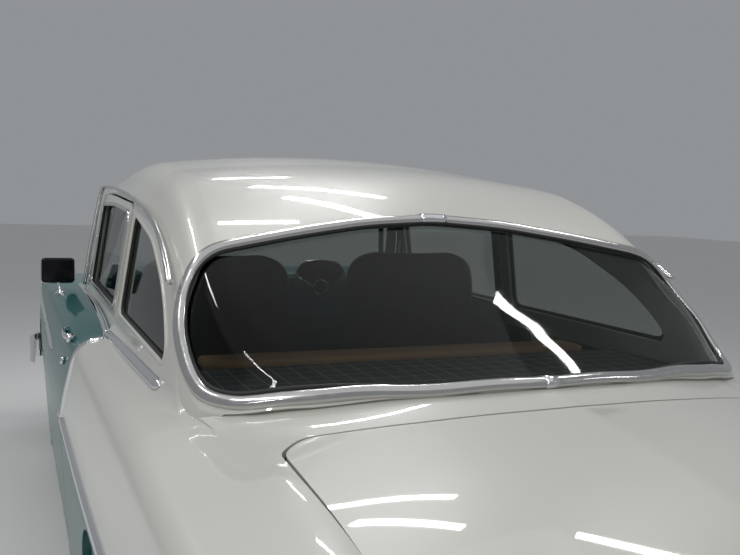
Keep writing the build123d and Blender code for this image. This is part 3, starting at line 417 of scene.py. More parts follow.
# %% Cut a grid along a line
def clipped(grid, normals, keep):
    """The faces of a grid where keep is above nought, cut along its zero line."""
    rows, cols = keep.shape
    points, norms, index, faces = [], [], {}, []

    def corner(i, j):
        key = (i, j)
        if key not in index:
            index[key] = len(points)
            points.append(grid[i, j])
            norms.append(normals[i, j])
        return index[key]

    def crossing(p, q):
        key = (min(p, q), max(p, q))
        if key not in index:
            fa, fb = keep[p], keep[q]
            t = fa / (fa - fb)
            index[key] = len(points)
            points.append(grid[p] * (1 - t) + grid[q] * t)
            norms.append(normals[p] * (1 - t) + normals[q] * t)
        return index[key]

    for i in range(rows - 1):
        for j in range(cols - 1):
            ring = [(i, j), (i + 1, j), (i + 1, j + 1), (i, j + 1)]
            face = []
            for p, q in zip(ring, ring[1:] + ring[:1]):
                if keep[p] > 0:
                    face.append(corner(*p))
                if (keep[p] > 0) != (keep[q] > 0):
                    face.append(crossing(p, q))
            if len(face) > 2:
                faces.append(face)
    return np.array(points), np.array(norms), faces


print("grids can be cut")

# %% [markdown]
# The cut leaves rims: the outer edge of the panel and one for each hole. They are the edges that belong
# to one face only. Put in order, they will carry the panel's walls, and later its bright mouldings.

# %% Find the rims
def rims(faces):
    """Loops of edges that only one face uses, as lists of vertex numbers in order."""
    used = {}
    for face in faces:
        for a, b in zip(face, face[1:] + face[:1]):
            used[(a, b)] = True
    following = {a: b for a, b in used if (b, a) not in used}
    loops = []
    while following:
        start, there = next(iter(following.items()))
        loop = [start]
        while there != start and there in following:
            loop.append(there)
            there = following.pop(there)
        following.pop(start, None)
        loops.append(loop)
    return loops


print("edges round one square face:", len(rims([[0, 1, 2, 3]])[0]))

# %% [markdown]
# A panel's shading comes from the smooth surface, not from its cut faces, so the normals of the grid
# are stored on the mesh. The rims get their own flat normals, which keeps the edge crisp.

# %% Helpers for mesh objects
def mesh_object(name, points, faces, finishes, face_finish=None, normals=None):
    """A smooth mesh object from points in millimetres."""
    mesh = bpy.data.meshes.new(name)
    mesh.from_pydata(to_frame(points).tolist(), [], faces)
    for finish in finishes:
        mesh.materials.append(finish)
    if face_finish is not None:
        mesh.polygons.foreach_set("material_index", face_finish)
    mesh.polygons.foreach_set("use_smooth", [True] * len(mesh.polygons))
    mesh.update()
    if normals is not None:
        mesh.normals_split_custom_set(normals)
    return linked(name, mesh)


def linked(name, data):
    """An object in the scene that carries a mesh, a lamp or a camera."""
    made = bpy.data.objects.new(name, data)
    bpy.context.scene.collection.objects.link(made)
    return made


def stands_on(made, body, nodes=()):
    """Ride a piece on a body, and let it stand for CAD nodes."""
    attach(made, body)
    if nodes:
        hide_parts(*nodes)
    return made


print("mesh helpers ready")

# %% [markdown]
# A panel is put together from three groups of faces: the outer sheet, the same sheet a wall's thickness
# further in and turned over, and the walls along the rims. Blender's Solidify modifier does much the same,
# but it works from the faces, where here both sheets follow the smooth surface.

# %% Make a panel
def panel(name, grid, keep, wall, body, outer, inner=None, nodes=(), flip=False, lift=0.0):
    """A sheet cut from a grid, as thick as wall inwards, with true normals on both faces.
    Returns the object and its rims, each as (points, normals)."""
    normals = grid_normals(grid) * (-1 if flip else 1)
    points, norms, faces = clipped(grid, normals, keep)
    norms = unit(norms)
    if flip:
        faces = [face[::-1] for face in faces]
    points = points + norms * lift
    count = len(points)
    loops = rims(faces)
    every = [list(face) for face in faces] + [[v + count for v in reversed(face)] for face in faces]
    slots = [0] * len(faces) + [1] * len(faces)
    for loop in loops:
        for a, b in zip(loop, loop[1:] + loop[:1]):
            every.append([b, a, a + count, b + count])
            slots.append(0)
    both = np.concatenate([points, points - norms * wall])
    corner_normals = []
    for k, face in enumerate(every):
        if k < len(faces):
            corner_normals.extend(tuple(norms[v]) for v in face)
        elif k < 2 * len(faces):
            corner_normals.extend(tuple(-norms[v - count]) for v in face)
        else:
            a, b, c = (both[v] for v in face[:3])
            side = np.cross(b - a, c - b)
            side = side / max(np.linalg.norm(side), 1e-9)
            corner_normals.extend([tuple(side)] * len(face))
    made = mesh_object(name, both, every, [outer, inner or outer], slots, normals=corner_normals)
    return stands_on(made, body, nodes), [(points[loop], norms[loop]) for loop in loops]


print("panels ready")

# %% [markdown]
# ## Mouldings
# Bright strips are rolled metal of one section, bent along an edge. A Blender curve with a bevel
# object would twist where the edge turns, because it doesn't know the surface below. So the section
# is swept in code: each step has its place and its upward direction from the skin it lies on.

# %% Even out a line
def run_lengths(points):
    """How far along a line each of its points lies."""
    return np.concatenate([[0], np.cumsum(np.linalg.norm(np.diff(points, axis=0), axis=1))])


def resampled(points, step, closed):
    """Points spaced evenly along a line."""
    points = np.asarray(points, float)
    if closed:
        points = np.concatenate([points, points[:1]])
    lengths = run_lengths(points)
    count = max(int(lengths[-1] / step), 3)
    at = np.linspace(0, lengths[-1], count, endpoint=not closed)
    return np.stack([np.interp(at, lengths, points[:, k]) for k in range(points.shape[1])], -1)


def softened(points, rounds, closed):
    """A line with its small kinks smoothed away."""
    points = np.array(points, float)
    for _ in range(rounds):
        middle = (np.roll(points, 1, 0) + np.roll(points, -1, 0)) / 2
        smoother = points * 0.5 + middle * 0.5
        if not closed:
            smoother[0], smoother[-1] = points[0], points[-1]
        points = smoother
    return points


print("length of a 3 by 4 step:", float(run_lengths([(0, 0, 0), (3, 4, 0)])[-1]))

# %% [markdown]
# At each step the section is set up from three directions: ahead along the strip, up from the skin, and
# sideways across both. Most strips have a half-oval section, whose flat side is sunk a little, so that no
# light shows under it.

# %% Sweep a moulding
def moulding(name, line, ups, profile, body, finish, closed=False, step=12.0, rounds=2, taper=0):
    """A strip swept along a line on a surface. profile holds (sideways, up) points in millimetres,
    and taper is the length over which its ends narrow to a point."""
    both = resampled(np.concatenate([line, ups], 1), step, closed)
    both = softened(both, rounds, closed)
    centre, up = both[:, :3], both[:, 3:]
    up = up / np.linalg.norm(up, axis=1, keepdims=True)
    ahead = np.gradient(centre, axis=0)
    if closed:
        ahead = np.roll(centre, -1, 0) - np.roll(centre, 1, 0)
    ahead = ahead / np.linalg.norm(ahead, axis=1, keepdims=True)
    side = np.cross(ahead, up)
    side = side / np.linalg.norm(side, axis=1, keepdims=True)
    up = np.cross(side, ahead)
    profile = np.array(profile, float)
    size = np.ones(len(centre))
    if taper:
        run = run_lengths(centre)
        size = np.clip(np.minimum(run, run[-1] - run) / taper, 0, 1) ** 0.5 * 0.9 + 0.1
    rings = (centre[:, None] + side[:, None] * profile[None, :, :1] * size[:, None, None]
             + up[:, None] * profile[None, :, 1:] * size[:, None, None])
    rows, cols = rings.shape[:2]
    faces = []
    for i in range(rows if closed else rows - 1):
        for j in range(cols):
            a, b = i * cols + j, i * cols + (j + 1) % cols
            c, d = ((i + 1) % rows) * cols + (j + 1) % cols, ((i + 1) % rows) * cols + j
            faces.append([a, b, c, d])
    if not closed:
        faces.append(list(range(cols))[::-1])
        faces.append([(rows - 1) * cols + j for j in range(cols)])
    return stands_on(mesh_object(name, rings.reshape(-1, 3), faces, [finish]), body)


def half_oval(width, height, points=9):
    """Profile of a half-oval strip, with its flat side sunk a little."""
    turns = np.linspace(0, math.pi, points)
    top = [(math.cos(t) * width / 2, math.sin(t) * height) for t in turns]
    return top + [(-width / 2, -2.0), (width / 2, -2.0)]


print("a half-oval has", len(half_oval(26, 9)), "points")

# %% [markdown]
# ## The car's lines
# These are the sections that the CAD is built from: body sides, greenhouse, windows, boot lid and the
# cuts between panels. They are repeated here so that each finer skin lies on its CAD piece. The rear
# window's outline and the pillar's foot are set more finely than the CAD has them.

# %% Sections of the body sides
FENDER_REAR = 650.0
DOOR_FRONT = 656.0
DOOR_REAR = 1866.0
DOOR_BOTTOM = 296.0
PANEL_GAP = 6.0
BODY_FRONT = -640.0
BODY_REAR = 4080.0
WHEELBASE = 2921.0
WIDEST_RADIUS = 900.0
# Columns: station, sill z, sill x, widest z, widest x, shoulder x, shoulder z, top x, top z, shoulder radius
FRONT_SIDE = np.array([
    (BODY_FRONT, 400, 846, 640, 884, 868, 915, 640, 908, 100),
    (-300, 340, 860, 660, 898, 876, 942, 657, 936, 100),
    (150, 280, 872, 680, 906, 880, 966, 680, 966, 95),
    (FENDER_REAR, 250, 878, 690, 911, 880, 984, 706, 992, 90),
    (1250, 250, 880, 700, 913, 874, 976, 742, 1000, 80),
    (1700, 250, 880, 700, 912, 868, 962, 746, 985, 80),
    (1880, 250, 880, 700, 912, 864, 950, 748, 964, 80),
], float)
REAR_SIDE = np.array([
    (1830, 250, 880, 700, 912, 865, 953, 754, 966, 80),
    (2300, 250, 880, 700, 908, 862, 946, 754, 968, 80),
    (2680, 262, 878, 698, 902, 860, 942, 754, 976, 84),
    (2950, 280, 874, 694, 896, 858, 940, 754, 974, 90),
    (3220, 296, 868, 690, 890, 856, 936, 754, 953, 95),
    (3650, 320, 856, 680, 880, 846, 918, 754, 931, 95),
    (BODY_REAR, 360, 838, 660, 862, 828, 884, 754, 883, 90),
], float)
print("body side sections:", len(FRONT_SIDE), "front,", len(REAR_SIDE), "rear")

# %% [markdown]
# The greenhouse is everything above the belt: roof, pillars and glass. Its windows are outlines that cut
# the skin. Only the wrapped rear window is given as points in space, because it lies in no one view.

# %% Sections of the greenhouse, and its windows
GREENHOUSE_FOOT_Z = 940.0
# Columns: station, centre z, corner x, corner z, corner radius, knee x, knee z, foot x
GREENHOUSE = np.array([
    (640, 1069, 350, 1045, 200, 470, 1000, 500),
    (740, 1193, 470, 1146, 200, 655, 1006, 680),
    (850, 1330, 560, 1252, 220, 737, 1016, 752),
    (930, 1430, 600, 1348, 190, 712, 1210, 752),
    (1000, 1478, 620, 1434, 110, 686, 1392, 752),
    (1200, 1524, 620, 1474, 130, 684, 1405, 752),
    (1650, 1560, 620, 1514, 150, 684, 1404, 752),
    (2050, 1530, 630, 1486, 140, 688, 1376, 752),
    (2400, 1466, 644, 1436, 120, 695, 1330, 752),
    (2580, 1383, 650, 1366, 105, 702, 1278, 752),
    (2700, 1311, 655, 1296, 90, 712, 1210, 752),
    (2834, 1235, 650, 1216, 100, 725, 1122, 752),
    (2985, 1149, 600, 1120, 150, 714, 1000, 732),
    (3101, 1083, 430, 1060, 180, 560, 990, 590),
    (3166, 1046, 260, 1032, 180, 420, 985, 450),
    (3215, 1019, 120, 1010, 120, 280, 980, 310),
], float)
# Outlines in side view. Columns: station, z, corner radius
WINDSHIELD_SIDE = [(560, 1004, 0), (818, 1004, 24), (966, 1398, 40), (1010, 1520, 0), (560, 1520, 0)]
VENT_GLASS = [(898, 1040, 16), (1000, 1330, 20), (1000, 1040, 6)]
DOOR_GLASS = [(1030, 1040, 6), (1030, 1360, 20), (1400, 1368, 2500), (1816, 1352, 24), (1816, 1036, 24)]
DOOR_FRAME = [(852, 950, 0), (852, 1000, 0), (997, 1404, 60), (1400, 1398, 0), (DOOR_REAR, 1379, 30),
              (DOOR_REAR, 950, 0)]
QUARTER_GLASS = [(1926, 1034, 24), (1926, 1352, 24), (2330, 1294, 700), (2610, 1180, 900), (2780, 1034, 26)]
# Outline in front view, run a little past the middle. Columns: x, z, corner radius
WINDSHIELD_FRONT = [(0, 1004, 0), (800, 1004, 0), (800, 1378, 0), (640, 1396, 120), (420, 1436, 600),
                    (0, 1446, 0), (-300, 1446, 0), (-300, 1004, 0)]
# Outer edge of the rear window's moulding on the left, from the bottom round to the top.
# Columns: x, station, z
WINDOW_EDGE = [(0, 3174, 1041), (247, 3156, 1034), (503, 3101, 1015), (656, 3045, 996), (708, 2985, 999),
               (721, 2918, 1035), (721, 2834, 1105), (716, 2748, 1187), (702, 2720, 1230), (640, 2690, 1285),
               (556, 2670, 1325), (419, 2640, 1357), (213, 2600, 1375), (0, 2580, 1380)]
print("greenhouse sections:", len(GREENHOUSE))

# %% [markdown]
# The boot lid runs down from the rear window in one gentle line, bends, and falls to its lip. Three lines
# over its length are enough: the middle, one halfway out, and the edge. A formula rather than a grid
# gives its height, because the deck beside it has to meet it at any place.

# %% Lines of the boot lid and the deck
LID_START_STATION = 3150.0
LID_BEND_STATION = 3588.0
LID_BEND_WIDTH = 180.0
LID_CORNER_X = 617.0
# Columns: x, front z, bend z, rear station, knee z, lip station
LID = np.array([(0, 1030, 990, 4092, 840, 4086), (350, 1014, 976, 4090, 838, 4084),
                (640, 978, 948, 4080, 820, 4074)], float)
# Outline seen from above. Columns: x, station, corner radius
LID_OUTLINE = [(0, 3262, 0), (330, 3240, 900), (566, 3196, 60), (617, 3240, 50), (617, 4200, 0),
               (-617, 4200, 0), (-617, 3240, 50), (-566, 3196, 60), (-330, 3240, 900)]
# Strip between the quarter's crest and the boot lid: its outer edge x, its inner edge x, and as
# columns its station and inner z
DECK_OUTER_X = 754.0
DECK_INNER_X = 640.0
DECK_EDGE = np.array([(2900, 996), (2950, 991), (3045, 984), (3100, 981), (3220, 974), (3650, 950),
                      (BODY_REAR, 880)], float)


def lid_height(x, station):
    """Height of the boot lid's surface over (x, station), run on forwards past the lid's edge."""
    front, bend, rear, knee = (eased(LID[:, 0], LID[:, k], np.abs(x)) for k in (1, 2, 3, 4))
    past = station - LID_BEND_STATION
    slope_front = (bend - front) / (LID_BEND_STATION - LID_START_STATION)
    turn = (knee - bend) / (rear - LID_BEND_STATION) - slope_front
    soft = turn * LID_BEND_WIDTH * (1 + np.clip(past / LID_BEND_WIDTH, -1, 1)) ** 2 / 4
    return bend + slope_front * past + np.where(past > LID_BEND_WIDTH, turn * past, soft)


print("lid height at its front:", round(float(lid_height(0, 3262)), 1))

# %% [markdown]
# ## Skins from the tables
# Each row of a table becomes an outline across the car, and the outlines, one behind the other, make a
# grid. Every stretch keeps its number of points from row to row, so the lines along the car run true.
# The roof's outline is bent so that it lies level where the two halves of the car meet.

# %% Grids of the body sides and the greenhouse
CROWN_SHARE = 1.9
CROWN_STEPS = 16
KNEE_RADIUS = 14


def columns(table, stations):
    """Every column of a table, read smoothly at the stations."""
    return np.stack([eased(table[:, 0], table[:, k], stations) for k in range(1, table.shape[1])], -1)


def side_grid(table, stations):
    """Grid of the left body side, from the sill over the shoulder to the top edge."""
    lines = []
    for station, row in zip(stations, columns(table, stations)):
        sill_z, sill_x, wide_z, wide_x, shoulder_x, shoulder_z, top_x, top_z, radius = row
        corners = [(sill_x, sill_z, 0), (wide_x, wide_z, WIDEST_RADIUS), (shoulder_x, shoulder_z, radius),
                   (top_x, top_z, 0)]
        lines.append([(x, station, z) for x, z in round_path(corners, [14, 6, 5], arc=12)])
    return np.array(lines)


def crowned(start, apex):
    """A run from start towards the apex, bent so that it meets the car's middle plane level."""
    bend = (start + apex) / 2
    end = np.array([apex[0], bend[1]])
    t = np.linspace(0, 1, CROWN_STEPS + 1)[:, None]
    return start * (1 - t) ** 2 + 2 * bend * t * (1 - t) + end * t ** 2


def greenhouse_grid(stations, sink=0.0):
    """Grid of the greenhouse, from the left foot over the roof to the right foot, sunk inwards by sink."""
    lines = []
    for station, row in zip(stations, columns(GREENHOUSE, stations)):
        top_z, corner_x, corner_z, corner_radius, knee_x, knee_z, foot_x = row
        apex_z = corner_z + CROWN_SHARE * (top_z - corner_z)
        half = [(foot_x - sink, GREENHOUSE_FOOT_Z, 0), (knee_x - sink, knee_z - sink / 4, KNEE_RADIUS),
                (corner_x - sink, corner_z - sink, corner_radius), (0, apex_z - sink, 0)]
        flat = round_path(half, [26, 8, CROWN_STEPS], arc=14)
        flat[-CROWN_STEPS - 1:] = crowned(flat[-CROWN_STEPS - 1], flat[-1])
        left = [(x, station, z) for x, z in flat]
        lines.append(left + [(-x, station, z) for x, z in flat[-2::-1]])
    return np.array(lines)


print("points in one greenhouse outline:", greenhouse_grid(np.array([1650.0])).shape[1])

# %% [markdown]
# ## The foot of the rear window
# On the real car this panel is pressed so that the lower edge of the wrapped window lies in one smooth
# sweep. The lofted sections miss that sweep by a few millimetres. More sections would bring waves with
# them, so the rear of the skin is let down instead, by a drop that grows in towards the window's foot.

# %% Let the greenhouse down onto the window's foot
FOOT_REACH = 150.0
FOOT_END_X = 712
# Columns: x, drop at the window's foot
FOOT_SINK = np.array([(0, 0.6), (180, 3), (247, 6.3), (330, 12), (400, 12.4), (450, 10.5), (503, 5.7),
                      (560, 1.5), (FOOT_END_X, 0)])
# Columns: x, station of the window's foot
FOOT_LINE = np.array([(0, 3174), (247, 3156), (503, 3101), (656, 3045), (FOOT_END_X, 2985)], float)


def settled(grid):
    """The greenhouse let down onto the smooth line of the rear window's foot."""
    x = np.minimum(np.abs(grid[..., 0]), FOOT_END_X)
    sink = eased(FOOT_SINK[:, 0], FOOT_SINK[:, 1], x)
    foot = eased(FOOT_LINE[:, 0], FOOT_LINE[:, 1], x)
    share = smooth_step(np.clip((grid[..., 1] - foot + FOOT_REACH) / FOOT_REACH, 0, 1))
    moved = grid.copy()
    moved[..., 2] -= sink * share
    return moved


roof_stations = np.arange(640, 3215, 13.0)
roof_grid = settled(greenhouse_grid(roof_stations))
print("roof grid:", roof_grid.shape)

# %% [markdown]
# ## Where the windows are
# The windshield and the side windows can be drawn in front view and side view, as on a body draughtsman's
# sheet. The rear window wraps round three sides of the car, and neither view shows it whole. So the skin
# is rolled out flat, like paper off a bottle, and the window's rim is drawn there as one smooth ring.

# %% Measure the windows on the skin
SIDE_ONLY_X = 600
# Length down the rear slope for each millimetre of station
WINDOW_SLOPE = 1.13


def windshield_measure(grid):
    """Above nought in the windshield's opening."""
    front = inside(np.abs(grid[..., 0]), grid[..., 2], WINDSHIELD_FRONT)
    return np.minimum(front, inside(grid[..., 1], grid[..., 2], WINDSHIELD_SIDE))


def side_measure(grid, outline):
    """Above nought in a side window or frame outline. The roof's top is left out."""
    return np.minimum(inside(grid[..., 1], grid[..., 2], outline), np.abs(grid[..., 0]) - SIDE_ONLY_X)


def girths(row):
    """Distance along the skin from the middle plane to each point of a row, minus on the right."""
    run = run_lengths(row)
    return run[len(row) // 2] - run


def unrolled(x, station, z):
    """Where a point of the left side lies on the unrolled skin, as (girth, distance down the slope)."""
    row = greenhouse_grid(np.array([station]))[0]
    girth = girths(row)
    spot, best, found = np.array([x, station, z]), 1e9, 0.0
    for a, b, girth_a, girth_b in zip(row, row[1:], girth, girth[1:]):
        span = b - a
        t = float(np.clip((spot - a) @ span / (span @ span), 0, 1))
        gap = np.linalg.norm(spot - a - span * t)
        if gap < best:
            best, found = gap, girth_a + (girth_b - girth_a) * t
    return found, station * WINDOW_SLOPE


half_edge = [unrolled(*spot) for spot in WINDOW_EDGE]
half_edge[0], half_edge[-1] = (0.0, half_edge[0][1]), (0.0, half_edge[-1][1])
window_ring = half_edge + [(-a, t) for a, t in half_edge[-2:0:-1]]
window_ring = softened(resampled(window_ring, 12.0, True), 6, True)
skin_girth = np.array([girths(row) for row in roof_grid])
window_inside = inside(skin_girth, roof_grid[..., 1] * WINDOW_SLOPE, [(a, t, 0) for a, t in window_ring])
print("rear window's rim:", len(window_ring), "points, deepest inside:", round(float(window_inside.max())))

# %% [markdown]
# ## Roof
# Roof, pillars and window frames are one welded shell on the real car. Here too they are one skin, cut
# at the windows, the doors and the deck. The door's hole is the door frame's outline, let out by the gap
# that shows between door and body.

# %% Cut the roof
MOULDING_HALF = 14.0
ROOF_WALL = 24.0
ROOF_FRONT = 800
ROOF_REAR = 3032
DASH_FOOT_Z = 1002.0
BELT_FOOT_Z = 962.0
BELT_START = 1870
# Halfway through the door frame, both in station and in height
FRAME_MIDDLE = 1200
frame_gap = [(station - PANEL_GAP if station < FRAME_MIDDLE else station + PANEL_GAP,
              z + (PANEL_GAP if z > FRAME_MIDDLE else 0), radius) for station, z, radius in DOOR_FRAME]
openings = np.maximum.reduce([windshield_measure(roof_grid), window_inside - MOULDING_HALF,
                              side_measure(roof_grid, QUARTER_GLASS), side_measure(roof_grid, frame_gap)])
roof_s, roof_z = roof_grid[..., 1], roof_grid[..., 2]
roof_keep = np.minimum.reduce([-openings, roof_z - np.where(roof_s > BELT_START, BELT_FOOT_Z, DASH_FOOT_Z),
                               roof_s - ROOF_FRONT, np.maximum(window_inside, ROOF_REAR - roof_s)])
roof, _ = panel("roof_skin", roof_grid, roof_keep, ROOF_WALL, "body", ivory, headliner, ["roof"])
print("roof faces:", len(roof.data.polygons))

# %% [markdown]
# ## Window glass
# Real panes are set a little below the metal, in rubber, and reach under its edge. The same skin, sunk a
# little, gives each pane the right bend without a drawing of its own, even where it wraps round a corner.

# %% Make the fixed glass
GLASS_SINK = 12.0
GLASS_WALL = 5.0
GLASS_LAP = 6.0
glass_grid = settled(greenhouse_grid(roof_stations, GLASS_SINK))
panes = [("windshield_glass", windshield_measure(glass_grid), "windshield"),
         ("rear_window_glass", window_inside - MOULDING_HALF, "rear_window"),
         ("quarter_glass", side_measure(glass_grid, QUARTER_GLASS), "quarter_windows")]
for name, measure, node in panes:
    panel(name, glass_grid, measure + GLASS_LAP, GLASS_WALL, "body", clear_glass, nodes=[node])
print("fixed panes:", len(panes))

# %% [markdown]
# ## Door frames and their glass
# A door of this age carries its window in a full frame, with a small vent pane at the front. The frame
# stands a little proud of the pillars, so it is cut from the same skin and lifted. Each hole in it then
# gets a bright trim and a rubber seal, which follow the rim that the cut has left.

# %% Make the door frames
FRAME_LIFT = 4.0
FRAME_WALL = 26.0
FRAME_FOOT_Z = 952
SEAL_SINK = 8
SEAL = [(-7, -4), (-5, 3), (0, 5), (5, 3), (7, -4)]


def sided(keep, grid, sign):
    """A measure that holds on one side of the car only."""
    return np.minimum(keep, grid[..., 0] * sign - 1)


def door_panes(grid):
    """Above nought in either pane of a door."""
    return np.maximum(side_measure(grid, DOOR_GLASS), side_measure(grid, VENT_GLASS))


door_pane_keep = door_panes(glass_grid) + GLASS_LAP
frame_keep = np.minimum.reduce([side_measure(roof_grid, DOOR_FRAME), -door_panes(roof_grid),
                                roof_z - FRAME_FOOT_Z])
for side, sign in (("left", 1), ("right", -1)):
    door = f"door_{side}"
    panel(f"door_glass_{side}", glass_grid, sided(door_pane_keep, glass_grid, sign), GLASS_WALL, door,
          clear_glass, nodes=[f"door_window_{side}"])
    _, found = panel(f"door_frame_{side}", roof_grid, sided(frame_keep, roof_grid, sign), FRAME_WALL, door,
                     ivory, dash_teal, lift=FRAME_LIFT)
    # The longest rim is the frame's outer edge, and the next two are its windows
    found.sort(key=lambda rim: -len(rim[0]))
    for k, (points, ups) in enumerate(found[1:3]):
        moulding(f"door_glass_trim_{side}_{k}", points, ups, half_oval(15, 6), door, stainless, closed=True)
        moulding(f"door_glass_seal_{side}_{k}", points - ups * SEAL_SINK, ups, SEAL, door, black_rubber,
                 closed=True)
print("rims of the last door frame:", [len(rim[0]) for rim in found])

# %% [markdown]
# ## Doors
# The outer skin of a door is a plain piece of the body side. Its rear edge leans with the jamb behind it,
# so that the door can swing out past the quarter. It is cut from a grid of its own, which starts and ends
# at the door's edges.

# %% Grid of the door skin
DOOR_SKIN_X = 912.0
DOOR_WALL = 50.0
# How far the jamb's edge comes forwards for each millimetre inwards
JAMB_LEAN = 0.10
door_stations = np.concatenate([[DOOR_FRONT], np.arange(664, 1860, 16.0), [1862, DOOR_REAR]])
door_grid = side_grid(FRONT_SIDE, door_stations)
door_keep = np.minimum(door_grid[..., 2] - DOOR_BOTTOM,
                       DOOR_REAR + 0.5 - JAMB_LEAN * (DOOR_SKIN_X - door_grid[..., 0]) - door_grid[..., 1])
print("door grid:", door_grid.shape)

# %% [markdown]
# ## Rear quarters
# The quarter is the car's most worked panel: over its shoulder it flows up into the pillar with a soft
# hollow, and behind the pillar it rolls over to the deck. Each station is drawn in both ways, and the two
# outlines are blended where one form becomes the other. A subdivision surface could do it too, but its
# edges would no longer lie on the door, the window and the deck.

# %% Grid of the rear quarter
QUARTER_TOP_X = 700.0
CREST_RADIUS = 70.0
CREST_RISE = 2
BELT_HOLLOW = 60.0
BELT_RISE = 80.0
BELT_RISE_END, BELT_RISE_FADE = 2985, 135
PILLAR_FOOT_OUT = 16
PILLAR_FOOT_END, PILLAR_FOOT_FADE = 3060, 75
PILLAR_END = 2870.0
DECK_START = 3010.0
QUARTER_STEPS = [14, 6, 5, 4]


def fading(stations, end, length):
    """One until a length before the end, and nought from the end on."""
    return np.clip((end - stations) / length, 0, 1)


def deck_edge(stations):
    """Height of the deck's inner edge, which starts at the first station of its table."""
    return eased(DECK_EDGE[:, 0], DECK_EDGE[:, 1], np.maximum(stations, DECK_EDGE[0, 0]))


def quarter_top_x(stations):
    """How far inwards the quarter's skin reaches."""
    return QUARTER_TOP_X + PILLAR_FOOT_OUT * fading(stations, PILLAR_FOOT_END, PILLAR_FOOT_FADE)


def greenhouse_side(station, z):
    """Half-width of the greenhouse's side at a station and height."""
    knee_x, knee_z, foot_x = (eased(GREENHOUSE[:, 0], GREENHOUSE[:, k], station) for k in (5, 6, 7))
    return foot_x + (knee_x - foot_x) * (z - GREENHOUSE_FOOT_Z) / (knee_z - GREENHOUSE_FOOT_Z)


def quarter_grid(stations):
    """Grid of the left quarter: sill, shoulder, the hollow at the belt and the foot of the pillar."""
    lines = []
    for station, row in zip(stations, columns(REAR_SIDE, stations)):
        sill_z, sill_x, wide_z, wide_x, shoulder_x, shoulder_z, top_x, top_z, radius = row
        low = [(sill_x, sill_z, 0), (wide_x, wide_z, WIDEST_RADIUS), (shoulder_x, shoulder_z, radius)]
        crest_z = top_z + CREST_RISE
        rise = max(float(fading(station, BELT_RISE_END, BELT_RISE_FADE)) * BELT_RISE, 3)
        pillar = greenhouse_side(station, crest_z + rise)
        hollow = (min(top_x, pillar + PILLAR_FOOT_OUT), crest_z, min(BELT_HOLLOW, rise * 0.9 + 2))
        beside_pillar = round_path(low + [hollow, (pillar, crest_z + rise, 0)], QUARTER_STEPS, arc=12)
        inner = float(quarter_top_x(station))
        slope = (float(deck_edge(station)) - crest_z) / (DECK_OUTER_X - DECK_INNER_X)
        crest = [(top_x, crest_z, CREST_RADIUS), (inner, crest_z + slope * (DECK_OUTER_X - inner), 0)]
        beside_deck = round_path(low + crest, QUARTER_STEPS, arc=12)
        share = smooth_step(float(np.clip((station - PILLAR_END) / (DECK_START - PILLAR_END), 0, 1)))
        flat = beside_pillar * (1 - share) + beside_deck * share
        lines.append([(x, station, z) for x, z in flat])
    return np.array(lines)


quarter_stations = np.concatenate([[1851, 1856, 1862, 1868], np.arange(1872, 4075, 15.0), [BODY_REAR]])
quarter_left_grid = quarter_grid(quarter_stations)
quarter_x, quarter_s, quarter_z = np.moveaxis(quarter_left_grid, -1, 0)
print("quarter grid:", quarter_left_grid.shape)

# %% [markdown]
# ## Two-tone paint
# The teal of the side ends at two bright strips: the spear along the rear, and the sash that falls from
# the belt behind the door. A painter masks along them. A shader could do the same, but where the two
# paints meet it would mix their gloss. So the quarter's skin is cut in two along the masking line, and
# each part has its own paint.

# %% Make the doors and the quarters
QUARTER_WALL = 22.0
ARCH_FRONT = WHEELBASE - 400.0
REAR_ARCH = [(ARCH_FRONT, 0, 0), (ARCH_FRONT, 655, 200), (WHEELBASE + 430, 655, 260), (WHEELBASE + 470, 0, 0)]
# Where the ivory ends: above the rear spear, and behind the sash. Columns: station, z
COLOUR_LINE = np.array([(1788, 705), (4088, 700)], float)
COLOUR_SASH = np.array([(1890, 700), (1904, 780), (1922, 860), (1938, 930), (1946, 956), (1950, 964),
                        (1800, 966)], float)
MIRRORED = np.array([-1, 1, 1])
jamb_line = DOOR_REAR + PANEL_GAP - JAMB_LEAN * (DOOR_SKIN_X - quarter_x)
quarter_keep = np.minimum.reduce([quarter_s - jamb_line, -inside(quarter_s, quarter_z, REAR_ARCH),
                                  -inside(quarter_s, quarter_z, QUARTER_GLASS)])
ivory_part = np.minimum(quarter_z - np.interp(quarter_s, COLOUR_LINE[:, 0], COLOUR_LINE[:, 1]),
                        quarter_s - np.interp(quarter_z, COLOUR_SASH[:, 1], COLOUR_SASH[:, 0]))
for side, turned, flip in (("left", 1, False), ("right", MIRRORED, True)):
    panel(f"door_skin_{side}", door_grid * turned, door_keep, DOOR_WALL, f"door_{side}", teal, seat_grey,
          nodes=[f"door_{side}"], flip=flip)
    for name, part, paint in (("upper", ivory_part, ivory), ("lower", -ivory_part, teal)):
        panel(f"quarter_{name}_{side}", quarter_left_grid * turned, np.minimum(quarter_keep, part),
              QUARTER_WALL, "body", paint, primer, nodes=[f"quarter_{side}"], flip=flip)
print("ivory share of the quarter's grid:", round(float((ivory_part > 0).mean()), 2))

# %% [markdown]
# ## Rear deck
# The deck is the frame that is left when the boot lid and the rear window are cut out. Seen from above it
# is simple, so its grid is flat in plan and each point only needs a height: the lid's surface in the
# middle, and a strip up to the crest at the sides. At the window's foot it sweeps up a few millimetres,
# to meet the bright moulding.

# %% Make the deck
WINDOW_RISE = 10.0
RISE_REACH = 110.0
DECK_WALL = 16.0
# Where the deck's side strip takes over from the lid's surface, and over what width
STRIP_START, STRIP_BLEND = 560, 120
deck_stations = np.arange(2930, BODY_REAR + 1, 10.0)
deck_s, deck_x = np.meshgrid(deck_stations, np.linspace(-DECK_OUTER_X, DECK_OUTER_X, 121), indexing="ij")
plan_edge = np.array(sorted((x, station) for x, station, _ in WINDOW_EDGE[:6]) + [(760, 2870)], float)


